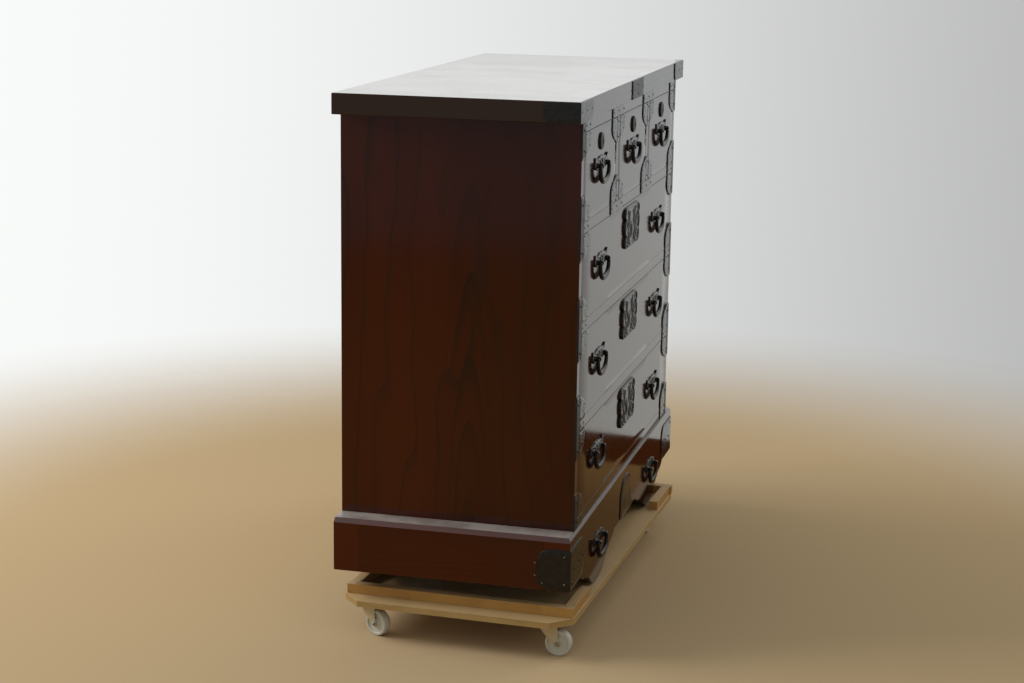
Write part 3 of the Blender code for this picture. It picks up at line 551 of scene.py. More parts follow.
def joinShapes(shapes):
    points, quads, tris, start = [], [], [], 0
    for shape in shapes:
        points.append(shape[0])
        quads.append(shape[1].reshape(-1, 4) + start)
        tris.append(shape[2].reshape(-1, 3) + start)
        start += len(shape[0])
    return np.concatenate(points), np.concatenate(quads), np.concatenate(tris)


def makePiece(name, shapes, mat, body="chest_and_dolly"):
    points, quads, tris = joinShapes(shapes)
    mesh = bpy.data.meshes.new(name)
    mesh.from_pydata(points.tolist(), [], quads.tolist() + tris.tolist())
    work = bmesh.new()
    work.from_mesh(mesh)
    bmesh.ops.recalc_face_normals(work, faces=work.faces)
    work.to_mesh(mesh)
    work.free()
    mesh.shade_smooth()
    mesh.set_sharp_from_angle(angle=math.radians(38))
    mesh.materials.append(mat)
    piece = bpy.data.objects.new(name, mesh)
    bpy.context.scene.collection.objects.link(piece)
    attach(piece, body)
    return piece


def evenLoop(corners, count, rounding):
    # A closed outline at even steps along its length, its corners eased by a running mean
    closed = np.vstack([corners, corners[:1]])
    length = np.concatenate([[0], np.cumsum(np.hypot(*np.diff(closed, axis=0).T))])
    fine = 8 * count
    at = np.linspace(0, length[-1], fine, endpoint=False)
    loop = np.column_stack([np.interp(at, length, closed[:, i]) for i in (0, 1)])
    reach = max(1, int(rounding / length[-1] * fine))
    kernel = np.ones(2 * reach + 1) / (2 * reach + 1)
    padded = np.vstack([loop[-2 * reach:], loop, loop[:2 * reach]])
    for _ in range(2):
        padded = np.column_stack([np.convolve(padded[:, i], kernel, "same") for i in (0, 1)])
    return padded[2 * reach:2 * reach + fine][::8]


def starPlate(corners, centre, sheet, count=96, rings=10, edge=0.0006, rounding=0.0008, relief=None):
    # A sheet laid out by rays from its centre: ring after ring out to the rim, a quarter-round arris, then down
    # to the board. Height is the sheet plus the relief, which fades out at the rim.
    rays = evenLoop(np.array(corners, float), count, rounding) - centre
    reach = np.hypot(*rays.T)
    turn = np.linspace(0, math.pi / 2, 4)[1:]
    shares = [t * (1 - edge / reach) for t in np.linspace(0, 1, rings + 1)[1:]]
    shares += [1 - edge * (1 - math.sin(a)) / reach for a in turn] + [np.ones(count)]
    heights = [sheet] * rings + [sheet - edge * (1 - math.cos(a)) for a in turn] + [0.0]
    shares, heights = np.array(shares), np.repeat(np.array(heights)[:, None], count, 1)
    flat = centre + shares[..., None] * rays
    top = sheet
    if relief:
        rim = (1 - shares) * reach
        fade = np.clip(rim / 0.0012, 0, 1) * (heights > 0)
        heights = heights + relief(flat[..., 0], flat[..., 1], rim) * fade
        top = sheet + float(relief(*(np.array([[v]]) for v in (*centre, 1.0)))[0, 0])
    points = np.concatenate([np.dstack([flat, heights]).reshape(-1, 3), [[*centre, top], [*centre, 0.0]]])
    return capped(points, len(shares), count)


def carried(profile, steps):
    # A profile of (radius, height) carried round the middle
    profile, angle = np.array(profile, float), circle(steps)
    radius = profile[:, :1]
    rings = np.dstack([radius * np.cos(angle), radius * np.sin(angle), np.repeat(profile[:, 1:], steps, 1)])
    return rings.reshape(-1, 3)


def turned(profile, steps, centre=(0.0, 0.0)):
    # A turned solid, closed at the axis at both ends
    points = np.vstack([carried(profile, steps), [0, 0, profile[0][1]], [0, 0, profile[-1][1]]])
    return capped(points + (*centre, 0), len(profile), steps)


def turnedRing(profile, steps):
    # A turned ring from a closed profile, its bore left open
    return carried(profile, steps), gridQuads(len(profile), steps, True, True), noTris


def onFront(shape, x, z, y=faceY):
    # Lays a plate on a face that looks along -Y
    across, up, proud = shape[0].T
    return np.column_stack([x + across, y - proud, z + up]), shape[1], shape[2]


def nails(places, directions, radius, height=0.0020, sunk=0.0006):
    # Domed nail heads: three rings and a pole on each, turned to the face they are driven into
    places, directions = np.array(places, float), np.array(directions, float)
    steps = 8
    rise = ((1.0, -sunk), (0.94, height * 0.35), (0.55, height * 0.85))
    helper = np.where(np.abs(directions[:, 2:]) > 0.9, [[1.0, 0, 0]], [[0, 0, 1.0]])
    side = np.cross(helper, directions)
    side /= np.linalg.norm(side, axis=1)[:, None]
    other = np.cross(directions, side)
    cosine, sine = np.cos(circle(steps))[:, None], np.sin(circle(steps))[:, None]
    ring = (cosine * side[:, None] + sine * other[:, None]) * radius
    rows = [places[:, None] + ring * share + directions[:, None] * up for share, up in rise]
    top = (places + directions * height)[:, None]
    foot = (places - directions * sunk)[:, None]
    points = np.concatenate([*rows, top, foot], 1)
    starts = (np.arange(len(places)) * points.shape[1])[:, None, None]
    quads = (gridQuads(3, steps, wrapColumns=True)[None] + starts).reshape(-1, 4)
    tris = np.vstack([fan(3 * steps, np.arange(steps) + 2 * steps), fan(3 * steps + 1, np.arange(steps), True)])
    return points.reshape(-1, 3), quads, (tris[None] + starts).reshape(-1, 3)


def bentPlate(base, normals, low, high, sheet, edge=0.0005, start=0.0):
    # A cross-section (a low rounded bar, from low to high) carried along a path that may turn a corner.
    # Each row of the section is (share of the height, shift up, distance from the face).
    count = len(base)
    low, high = (np.broadcast_to(v, count).astype(float) for v in (low, high))
    eased = edge * 0.3
    section = np.array([
        (0, 0, start), (0, 0, sheet - edge), (0, eased, sheet - eased), (0, edge, sheet),
        *((share, 0, sheet) for share in (0.2, 0.4, 0.6, 0.8)),
        (1, -edge, sheet), (1, -eased, sheet - eased), (1, 0, sheet - edge), (1, 0, start)])
    up = low[:, None] + section[:, 0] * (high - low)[:, None] + section[:, 1]
    flat = base[:, None] + normals[:, None] * section[None, :, 2:]
    points = np.dstack([flat, up]).reshape(-1, 3)
    rows = len(section)
    return capped(np.vstack([points, points[:rows].mean(0), points[-rows:].mean(0)]), count, rows)


def bentPath(corner, legs, side, steps):
    # Base points and outward normals: in along the front, round the corner, back along the side
    turn = np.linspace(0, math.pi / 2, 6)
    frontX = np.linspace(corner[0] - side * legs[0], corner[0], steps[0])[:-1]
    backY = np.linspace(corner[1], corner[1] + legs[1], steps[1])[1:]
    base = np.vstack([
        np.column_stack([frontX, np.full(len(frontX), corner[1])]),
        np.tile(corner, (len(turn), 1)),
        np.column_stack([np.full(len(backY), corner[0]), backY])])
    normals = np.vstack([
        np.tile((0.0, -1.0), (len(frontX), 1)),
        np.column_stack([side * np.sin(turn), -np.cos(turn)]),
        np.tile((side, 0.0), (len(backY), 1))])
    middle = corner[0] * side
    along = np.concatenate([frontX * side, np.full(len(turn), middle), middle + backY - corner[1]])
    return base, normals, along - along.min()


def nearCurves(curves, across, up):
    # Distance from each point to the nearest of some polylines
    line = np.concatenate(curves)
    flat = np.column_stack([np.ravel(across), np.ravel(up)])
    squares = np.full(len(flat), 1.0)
    for part in np.array_split(line, max(1, len(line) // 60)):
        gap = flat[:, None] - part[None]
        squares = np.minimum(squares, (gap ** 2).sum(2).min(1))
    return np.sqrt(squares).reshape(np.shape(across))


def spiral(centre, outer, inner, turns, start, way=1, count=90):
    t = np.linspace(0, 1, count)
    radius = outer + (inner - outer) * t
    angle = math.radians(start) + way * turns * 2 * math.pi * t
    return np.column_stack([centre[0] + radius * np.cos(angle), centre[1] + radius * np.sin(angle)])


def sweepCurve(points, count=60):
    # A smooth curve through a few points: Catmull-Rom by arrays
    p = np.array(points, float)
    p = np.vstack([2 * p[0] - p[1], p, 2 * p[-1] - p[-2]])
    t = np.linspace(0, len(points) - 1 - 1e-6, count)
    i, f = t.astype(int), (t % 1)[:, None]
    a, b, c, d = p[i], p[i + 1], p[i + 2], p[i + 3]
    return 0.5 * (2 * b + (c - a) * f + (2 * a - 5 * b + 4 * c - d) * f ** 2 + (3 * b - a - 3 * c + d) * f ** 3)


def dome(share, power=1.0):
    # 1 in the middle, 0 from share 1 on
    return np.clip(1 - share, 0, 1) ** power


def pillow(rim, rise, reach):
    # Rises inwards from the rim, to its full height within the reach
    return rise * np.clip(rim / reach, 0, 1)


def groove(curves, across, up, deep, half):
    return deep * dome(nearCurves(curves, across, up) / half)


# Ironwork

ironwork = {
    "sheet": ironSheet + 0.0003,    # the worked sheet stands a little over the plain solid
    "leafWidth": 0.048,
    "innerLeafWidth": 0.046,
    "leafLength": 0.050,
    "leafPillow": (0.0004, 0.006),      # how high, and how far in from the rim
    "leafGroove": (0.00045, 0.0011),    # how deep, and half its width
    "nailRadius": 0.0019,
    "nailHeight": 0.0011,
    "bandNailInset": 0.009,
    "bandWithThree": 0.06,              # a band longer than this has three nails
    "partitionNailInset": 0.010,
    "sideNailInset": 0.016,
    "strapReturn": 0.0022,
    "strapWave": 0.006,
    "strapEndGap": 0.0006,
}
leafShares = np.array([
    (0.0, 0.0), (1.0, 0.0), (1.0, 0.44), (0.94, 0.55), (0.83, 0.65), (0.68, 0.735),
    (0.57, 0.80), (0.44, 0.825), (0.32, 0.875), (0.20, 0.93), (0.08, 0.975), (0.0, 1.0)])
leafVeins = (
    ((0.05, 0.15), (0.12, 0.5), (0.06, 0.85)),
    ((0.2, 0.55), (0.16, 0.68), (0.12, 0.82)),
    ((0.93, 0.08), (0.93, 0.4), (0.82, 0.57), (0.6, 0.64), (0.4, 0.68), (0.24, 0.76)))
leafNailShares = np.array([(0.14, 0.07), (0.84, 0.10), (0.10, 0.72), (0.74, 0.52)])


def leafPlate(x, z, towards, upwards, width):
    # A quarter of a leaf, engraved with a curl and three veins
    size = np.array([width, ironwork["leafLength"]])
    lines = [spiral((0.51, 0.306) * size, 0.22 * width, 0.03 * width, 1.3, 250)]
    lines += [sweepCurve(vein * size) for vein in map(np.array, leafVeins)]

    def relief(across, up, rim):
        return pillow(rim, *ironwork["leafPillow"]) - groove(lines, across, up, *ironwork["leafGroove"])

    points, quads, tris = starPlate(
        leafShares * size, (0.32, 0.36) * size, ironwork["sheet"], 120, 26, relief=relief)
    return onFront((points * (towards, upwards, 1), quads, tris), x, z)


def leafNails(x, z, towards, upwards, width):
    flat = leafNailShares * (width, ironwork["leafLength"]) * (towards, upwards)
    return [(x + u, faceY - ironwork["sheet"] - 0.0002, z + v) for u, v in flat]


def frontNails(places):
    directions = np.tile((0.0, -1.0, 0.0), (len(places), 1))
    return nails(places, directions, ironwork["nailRadius"], ironwork["nailHeight"])


def barPlate(x0, x1, z0, z1):
    corners = [(x0, z0), (x1, z0), (x1, z1), (x0, z1)]
    middle = ((x0 + x1) / 2, (z0 + z1) / 2)
    return onFront(starPlate(corners, middle, ironwork["sheet"], 64, 4, rounding=0.0004), 0, 0)


lockLook = {
    "half": (0.0739, 0.0858), "topInset": 0.0066, "sheet": 0.0032,
    "ridge": 0.0016, "ridgeHalf": 0.0032,
    "bead": 0.0018, "beadInset": 0.0028, "beadHalf": 0.0024,
    "boss": 0.0026, "bossHalf": (0.0085, 0.014), "bossDrop": 0.051,
    "sunk": (0.0010, 0.002), "sunkInset": 0.005, "centre": (0.0, -0.049),
}
lockShares = np.array([
    (0.0, 0.0), (0.74, 0.0), (0.88, -0.03), (0.97, -0.10), (1.0, -0.17), (0.97, -0.22), (0.885, -0.28),
    (0.97, -0.34), (1.0, -0.46), (0.97, -0.60), (0.885, -0.66), (0.95, -0.73), (0.975, -0.84),
    (0.90, -0.95), (0.74, -0.985), (0.60, -0.93), (0.44, -0.985), (0.27, -0.945), (0.12, -0.99), (0.0, -1.0)])
# The scrolls of the right half, and how finely each is drawn
lockCurls = (
    (((0.052, -0.012), (0.064, -0.024), (0.061, -0.040), (0.050, -0.046), (0.044, -0.036), (0.050, -0.027)), 110),
    (((0.050, -0.088), (0.063, -0.076), (0.061, -0.060), (0.050, -0.054), (0.044, -0.064), (0.050, -0.072)), 110),
    (((0.034, -0.010), (0.030, -0.026), (0.036, -0.044), (0.030, -0.062), (0.036, -0.080)), 110),
    (((0.018, -0.014), (0.022, -0.030), (0.017, -0.044)), 50),
    (((0.017, -0.056), (0.022, -0.070), (0.018, -0.086)), 50))
lockKey = ((0, -0.036), (0.0095, -0.041), (0.0105, -0.052), (0.0085, -0.063), (0, -0.067))


def lockPlate(x, top):
    # The big lock plate: a beaded rim, upright scrolls on each side and a keyhole boss in the middle
    look = lockLook
    curls = [sweepCurve(np.array(points) * (way, 1), count) for way in (-1, 1) for points, count in lockCurls]
    keyLoop = mirrored(lockKey)
    key = sweepCurve(np.vstack([keyLoop, keyLoop[:1]]), 90)

    def relief(across, up, rim):
        gap = np.minimum(nearCurves(curls, across, up), nearCurves([key], across, up) * 1.2)
        ridge = look["ridge"] * dome((gap / look["ridgeHalf"]) ** 2, 0.7)
        bead = look["bead"] * dome(((rim - look["beadInset"]) / look["beadHalf"]) ** 2)
        wide, tall = look["bossHalf"]
        boss = look["boss"] * dome((across / wide) ** 2 + ((up + look["bossDrop"]) / tall) ** 2, 0.5)
        sunk = -pillow(rim - look["sunkInset"], *look["sunk"])
        return sunk + np.maximum(np.maximum(ridge, bead), boss + 0.0006 * (boss > 0))

    corners = mirrored(lockShares * look["half"])
    shape = starPlate(corners, look["centre"], look["sheet"], 400, 60, 0.0008, 0.0010, relief)
    return onFront(shape, x, top - look["topInset"])


roundLook = {
    "radius": 0.0165, "rim": 0.0026, "rise": 0.0022, "bead": 0.0006,
    "petals": 16, "petal": 0.0007, "slide": 0.0014, "slideHalf": (0.0042, 0.0085),
    "place": 0.815,         # share of the drawer front's height
}


def roundLock(x, z):
    # A round lock plate: rim bead, a ring of chased petals, a raised middle with its key slide
    look = roundLook
    rings, steps = 34, 96
    share = np.linspace(0, 1, rings)[1:, None]
    angle = circle(steps)[None]
    across, up = (look["radius"] * share * wave(angle) for wave in (np.cos, np.sin))
    petal = look["petal"] * np.abs(np.sin(angle * look["petals"] / 2))
    wide, tall = look["slideHalf"]
    height = look["rim"] + look["rise"] * np.cos(share * math.pi / 2)
    height = height + look["bead"] * dome(((share - 0.90) / 0.09) ** 2)
    height = height + petal * dome(((share - 0.66) / 0.16) ** 2)
    height = height + look["slide"] * dome((across / wide) ** 2 + (up / tall) ** 2, 0.5)
    height = np.where(share > 0.985, 0.0, height)
    points = np.dstack([across, up, height]).reshape(-1, 3)
    points = np.vstack([points, [0, 0, height[0].mean()], [0, 0, 0]])
    return onFront(capped(points, rings - 1, steps), x, z)


handleLook = {
    "half": 0.0565, "rise": 0.0173, "fall": 0.0113, "sheet": 0.0024,
    "pillow": (0.0006, 0.006), "groove": (0.0006, 0.0012),
    "lobes": (  # across, up, half width, half height, how high
        (0.0, 0.003, 0.0085, 0.0090, 0.0032),
        (-0.0155, 0.002, 0.0065, 0.0080, 0.0028),
        (0.0155, 0.002, 0.0065, 0.0080, 0.0028)),
    "washer": ((0.0088, 0.0), (0.0088, 0.0024), (0.0080, 0.0034), (0.0062, 0.0040), (0.0034, 0.0046)),
    "eyeOffset": 0.030, "eyeRadius": 0.0050, "eyeHole": 0.0028, "eyeWide": 0.0052, "standoff": 0.0085,
    "rod": 0.0046, "pinShare": 0.53, "bailHalf": 0.0375, "drop": 0.0305, "fullness": 2.8,
}
handleShares = np.array([
    (0.0, 0.92), (0.20, 0.96), (0.34, 0.84), (0.50, 0.74), (0.62, 0.78), (0.74, 0.66), (0.83, 0.74),
    (0.93, 1.0), (1.0, 0.86), (0.97, 0.45), (1.0, 0.10), (0.93, -0.35), (0.80, -0.60), (0.62, -0.55),
    (0.50, -0.85), (0.34, -1.0), (0.17, -0.75), (0.0, -0.9)])
plinthHalf = 0.0465
plinthShares = np.array([
    (0.0, 0.80), (0.30, 0.90), (0.62, 0.80), (0.90, 0.55), (1.0, 0.0), (0.90, -0.60),
    (0.62, -0.85), (0.30, -0.95), (0.0, -1.0)])


def handlePlate(x, z, shares=handleShares, half=handleLook["half"], y=faceY, swollen=1.0):
    # A cloud-shaped back plate with engraved curls and three swollen lobes, and a washer under each eye
    look = handleLook
    rise = np.where(shares[:, 1] > 0, look["rise"], look["fall"])
    corners = mirrored(shares * np.column_stack([np.full(len(shares), half), rise]))
    curls = [spiral((way * half * 0.78, 0.003), 0.007, 0.0015, 1.2, 90, way, 60) for way in (-1, 1)]
    curls.append(sweepCurve([(-0.018, 0.004), (-0.008, 0.009), (0, 0.004), (0.008, 0.009), (0.018, 0.004)]))

    def relief(across, up, rim):
        lobes = [high * dome(((across - u) / wide) ** 2 + ((up - v) / tall) ** 2, 0.5)
                 for u, v, wide, tall, high in look["lobes"]]
        plain = pillow(rim, *look["pillow"]) - groove(curls, across, up, *look["groove"])
        return plain + swollen * np.max(lobes, 0)

    offsets = (-look["eyeOffset"], look["eyeOffset"])
    shapes = [starPlate(corners, (0.0, 0.0), look["sheet"], 200, 30, relief=relief)]
    shapes += [turned(look["washer"], 24, (offset, 0.0)) for offset in offsets]
    return [onFront(s, x, z, y) for s in shapes] + [eye(x + offset, z, y) for offset in offsets]


def eye(x, z, y):
    # One eye: a stem from the plate to a ring round the pin, with eased edges. Two outlines with the same number
    # of points, the outer one and the hole, are joined across the eye's width.
    look = handleLook
    steps = 40
    angle = circle(steps)
    radius, out = look["eyeRadius"], look["standoff"]
    away, sine = -np.cos(angle), np.sin(angle)
    square = np.maximum(np.abs(away), np.abs(sine))
    outer = np.column_stack([np.where(away > 0, radius * away, out * away / square),
                             np.where(away > 0, radius * sine, radius * np.clip(sine / square, -1, 1))])
    hole = np.column_stack([away, sine]) * look["eyeHole"]
    ease, half = 0.0005, look["eyeWide"] / 2
    inner = 1 - ease / 0.002
    rows = []
    for share, across in ((0.0, -half), (inner, -half), (1.0, ease - half), (1.0, half - ease), (inner, half),
                          (0.0, half)):
        flat = hole + (outer - hole) * share
        rows.append(np.column_stack([x + np.full(steps, across), y - out - flat[:, 0], z + flat[:, 1]]))
    return np.concatenate(rows), gridQuads(len(rows), steps, True, True), noTris


def bail(pivot):
    # The swinging rod: half a superellipse, thickest at its belly, its ends turned in as pins. The section is an
    # ellipse carried along the curve.
    look = handleLook
    power = 2 / look["fullness"]
    t = np.linspace(0.10, math.pi - 0.10, 56)
    bow = np.column_stack([look["bailHalf"] * np.sign(np.cos(t)) * np.abs(np.cos(t)) ** power,
                           -look["drop"] * np.sin(t) ** power])
    bowShare = 0.80 + 0.45 * np.sin(t) ** 3
    pinTip = look["eyeOffset"] - look["rod"]
    lead = np.array([(pinTip, 0.0), (pinTip + 0.0040, 0.0), (pinTip + 0.0070, 0.0), (pinTip + 0.0090, -0.0003)])
    leadShare = np.array([look["pinShare"]] * 3 + [0.70])
    line = np.vstack([lead, bow, (lead * (-1, 1))[::-1]])
    share = np.concatenate([leadShare, bowShare, leadShare[::-1]])
    flat = np.gradient(line, axis=0)
    flat /= np.linalg.norm(flat, axis=1)[:, None]
    across = np.column_stack([-flat[:, 1], flat[:, 0]])
    angle = circle(14)
    wide = look["rod"] * share * (1 + 0.10 * (share > 1))
    ring = wide[:, None] * np.cos(angle)
    out = look["rod"] * np.minimum(share, 1.0)[:, None] * np.sin(angle)
    inPlane = line[:, None] + across[:, None] * ring[..., None]
    places = (inPlane[..., 0] + pivot[0], pivot[1] - out, inPlane[..., 1] + pivot[2])
    points = np.dstack(places).reshape(-1, 3)
    rows, steps = len(line), len(angle)
    return capped(np.vstack([points, points[:steps].mean(0), points[-steps:].mean(0)]), rows, steps)


def makeFrontBoards():
    # Each drawer front as a plain board with eased arrises; its fittings are laid on it afterwards
    for drawer in drawerNames:
        low, high = span(drawer + "_front")
        corners = [(low[0], low[2]), (high[0], low[2]), (high[0], high[2]), (low[0], high[2])]
        middle = ((low[0] + high[0]) / 2, (low[2] + high[2]) / 2)
        board = starPlate(corners, middle, high[1] - faceY, 400, 6, rounding=0.0004)
        board = onFront(board, 0, 0, high[1])
        piece = makePiece(drawer + "_board", [board], frontLacquer, drawer)
        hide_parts(drawer + "_front")


def pivotOf(bailName):
    return joints[bailName + "_swing"]["pos_m"]


def makeBails():
    for name in bailNames:
        piece = makePiece(name + "_rod", [bail(pivotOf(name))], castIron, name)
        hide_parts(name)


def makeDrawerIrons():
    for drawer in drawerNames:
        low, high = span(drawer + "_front")
        small = drawer.startswith("drawer_1")
        left, right = low[0] + seatGap, high[0] - seatGap
        bottom, top = low[2] + seatGap, high[2] - seatGap
        # A leaf beside a partition is a little narrower than one at the chest's side
        widths = [ironwork["innerLeafWidth" if small and drawer != last else "leafWidth"]
                  for last in ("drawer_1a", "drawer_1c")]
        shapes, heads = [], []
        for x, towards, width in ((left, 1, widths[0]), (right, -1, widths[1])):
            for z, upwards in ((bottom, 1), (top, -1)):
                shapes.append(leafPlate(x, z, towards, upwards, width))
                heads += leafNails(x, z, towards, upwards, width)
        for name in bailNames:
            if name.startswith(drawer + "_bail"):
                shapes += handlePlate(pivotOf(name)[0], pivotOf(name)[2])
        shapes.append(frontNails(heads))
        makePiece(drawer + "_irons", shapes, frontIron, drawer)
        middle = (low[0] + high[0]) / 2
        if small:
            lock, iron = roundLock(middle, low[2] + roundLook["place"] * (high[2] - low[2])), roundIron
        else:
            lock, iron = lockPlate(middle, high[2]), lockIron
        makePiece(drawer + "_lock", [lock], iron, drawer)


def makeRailIrons():
    # Bands on the rails and straps on the partitions
    shapes, heads, railSpans = [], [], []
    partitions = [span(n) for n in ("partition_1", "partition_2")]
    proud = faceY - ironwork["sheet"]
    width, length = ironwork["leafWidth"], ironwork["leafLength"]
    for name in ("bottom_board", "shelf_1", "shelf_2", "shelf_3", "top_rail"):
        low, high = span(name)[0][2] + seatGap, span(name)[1][2] - seatGap
        railSpans.append((low, high))
        places = [(innerFaces[0] + seatGap * 2, innerFaces[0] + width),
                  (innerFaces[1] - width, innerFaces[1] - seatGap * 2)]
        if name in ("shelf_3", "top_rail"):
            reach = (partitions[0][1][0] - partitions[0][0][0]) / 2 + ironwork["innerLeafWidth"]
            places += [((a[0] + b[0]) / 2 + np.array([-reach, reach])).tolist() for a, b in partitions]
        for x0, x1 in places:
            shapes.append(barPlate(x0, x1, low, high))
            count = 3 if x1 - x0 > ironwork["bandWithThree"] else 2
            ends = (x0 + ironwork["bandNailInset"], x1 - ironwork["bandNailInset"])
            heads += [(x, proud, (low + high) / 2) for x in np.linspace(*ends, count)]
    under = railSpans[-1][0] - 2 * seatGap
    for a, b in partitions:
        for z0, z1 in ((a[2] + seatGap, a[2] + length), (under - length, under - seatGap)):
            shapes.append(barPlate(a[0] + seatGap, b[0] - seatGap, z0, z1))
            inset = ironwork["partitionNailInset"]
            heads += [((a[0] + b[0]) / 2, proud, z) for z in (z0 + inset, z1 - inset)]
    makePiece("rail_irons", shapes + [frontNails(heads)], frontIron)
    return railSpans


def makeSideStraps(railSpans):
    # Straps round the side boards' front edges, with waved ends
    proud = faceY - ironwork["sheet"]
    bottom, top = bodyBottom + ironwork["strapEndGap"], bodyTop - ironwork["strapEndGap"]
    inset = ironwork["sideNailInset"]
    for i, side in enumerate((-1, 1)):
        outer, inner = sideFaces[i], innerFaces[i]
        shapes, places = [], []
        legs = (abs(outer - inner) - seatGap, ironwork["strapReturn"])
        base, normals, along = bentPath(np.array([outer, faceY]), legs, side, (14, 4))
        share = along / along.max()
        wave = np.abs(np.sin(share * math.pi * 1.5)) * (share < 0.667) + (share >= 0.667) * (share - 0.667) * 3
        for low, high in railSpans:
            # A strap that reaches the body's end is cut straight there
            low = max(low - ironwork["leafLength"], bottom)
            high = min(high + ironwork["leafLength"], top)
            lowTip, highTip = (wave * ironwork["strapWave"] * free for free in (low > bottom, high < top))
            shapes.append(bentPlate(base, normals, low + lowTip, high - highTip, ironwork["sheet"]))
            places += [((outer + inner) / 2, proud, z) for z in (low + inset, high - inset)]
        shapes.append(nails(places, [(0, -1, 0)] * len(places), ironwork["nailRadius"]))
        makePiece("side_straps_" + sideNames[i], shapes, blackIron)


cornerLook = {
    "proud": ironSheet + seatGap,
    "slabRound": 0.012, "slabInset": 0.0004, "slabMiddle": 0.52,
    "slabFront": (0.012, 0.052, 0.090),                     # nails' distances from the corner
    "slabSide": ((0.0127, 0.0), (0.0587, 0.006)),           # distance from the corner, height over the middle
    "slabNail": (0.0015, 0.0009),                           # radius, height
    "plinthRound": 0.026,
    "plinthFront": ((0.027, 0.037), (0.069, 0.039), (0.012, 0.066), (0.012, 0.012), (0.104, 0.039)),
    "plinthSide": ((0.010, 0.012), (0.010, 0.066), (0.066, 0.050), (0.066, 0.026), (0.052, 0.012)),
    "plinthSideNail": (0.0014, 0.0012),
}


def cornerSheet(name, corner, side, low, high, steps, rounding, roundTop):
    # A plate bent round a corner, its lower corners rounded, and its upper ones too where roundTop is 1
    boxLow, boxHigh = span(name)
    legs = (boxHigh[0] - boxLow[0] - cornerLook["proud"], boxHigh[1] - corner[1])
    base, normals, along = bentPath(corner, legs, side, steps)
    gap = np.minimum(along, along.max() - along)
    lift = rounding - np.sqrt(np.clip(rounding ** 2 - np.clip(rounding - gap, 0, None) ** 2, 0, None))
    return bentPlate(base, normals, low + lift, high - lift * roundTop, cornerLook["proud"], start=seatGap * 0.5)


def makeCornerPlates():
    look = cornerLook
    proud = look["proud"]
    for where, side in zip(sideNames, (-1, 1)):
        name = "slab_corner_" + where
        corner = np.array([slabHigh[0] if side > 0 else slabLow[0], slabFaceY])
        z0, z1 = slabLow[2] + look["slabInset"], slabHigh[2] - look["slabInset"]
        shape = cornerSheet(name, corner, side, z0, z1, (20, 18), look["slabRound"], 0)
        middle = z0 + look["slabMiddle"] * (z1 - z0)
        places = [(corner[0] + side * proud, slabFaceY + d, middle + h) for d, h in look["slabSide"]]
        places += [(corner[0] - side * d, corner[1] - proud, middle) for d in look["slabFront"]]
        heads = nails(places, [(side, 0, 0)] * 2 + [(0, -1, 0)] * 3, *look["slabNail"])
        piece = makePiece(name + "_sheet", [shape, heads], cornerIron)
        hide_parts(name)
    for where, side in zip(sideNames, (-1, 1)):
        name = "plinth_corner_" + where
        low, high = span(name)
        corner = np.array([high[0] - proud if side > 0 else low[0] + proud, plinthFaceY])
        shape = cornerSheet(name, corner, side, low[2], high[2], (26, 22), look["plinthRound"], 1)
        places = [(corner[0] - side * d, corner[1] - proud, low[2] + h) for d, h in look["plinthFront"]]
        heads = nails(places, [(0, -1, 0)] * len(places), ironwork["nailRadius"])
        piece = makePiece(name + "_sheet", [shape, heads], frontIron)
        places = [(corner[0] + side * proud, plinthFaceY + d, low[2] + h) for d, h in look["plinthSide"]]
        heads = nails(places, [(side, 0, 0)] * len(places), *look["plinthSideNail"])
        makePiece(name + "_nails", [heads], nailSteel)
        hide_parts(name)


centreLook = {
    "half": 0.0582, "dip": 0.0054, "slabInset": 0.0012, "plinthInset": 0.0007, "archTop": 0.018, "spring": 0.42,
    "slabNails": ((-0.046, 0), (0.046, 0), (0, 0.008), (0, -0.010)),
    "pillow": (0.0010, 0.012), "groove": (0.0008, 0.0015),
}


def makeSlabPlate():
    # The slab's middle plate, whose sides wave like clouds
    look = centreLook
    z0, z1 = slabLow[2] + look["slabInset"], slabHigh[2] - look["slabInset"]
    t = np.linspace(0, 1, 19)
    wave = look["half"] - look["dip"] * np.abs(np.sin(t * math.pi * 2)) ** 0.8
    right = np.column_stack([wave, z1 + (z0 - z1) * t])
    corners = np.vstack([right, (right * (-1, 1))[::-1]])
    middle = (z0 + z1) / 2
    plate = starPlate(corners, (0.0, middle), ironwork["sheet"], 120, 8, rounding=0.0006)
    heads = [(chestMid + x, slabFaceY - ironwork["sheet"], middle + z) for x, z in look["slabNails"]]
    makePiece("slab_centre_sheet", [onFront(plate, chestMid, 0, slabFaceY), frontNails(heads)], blackIron)


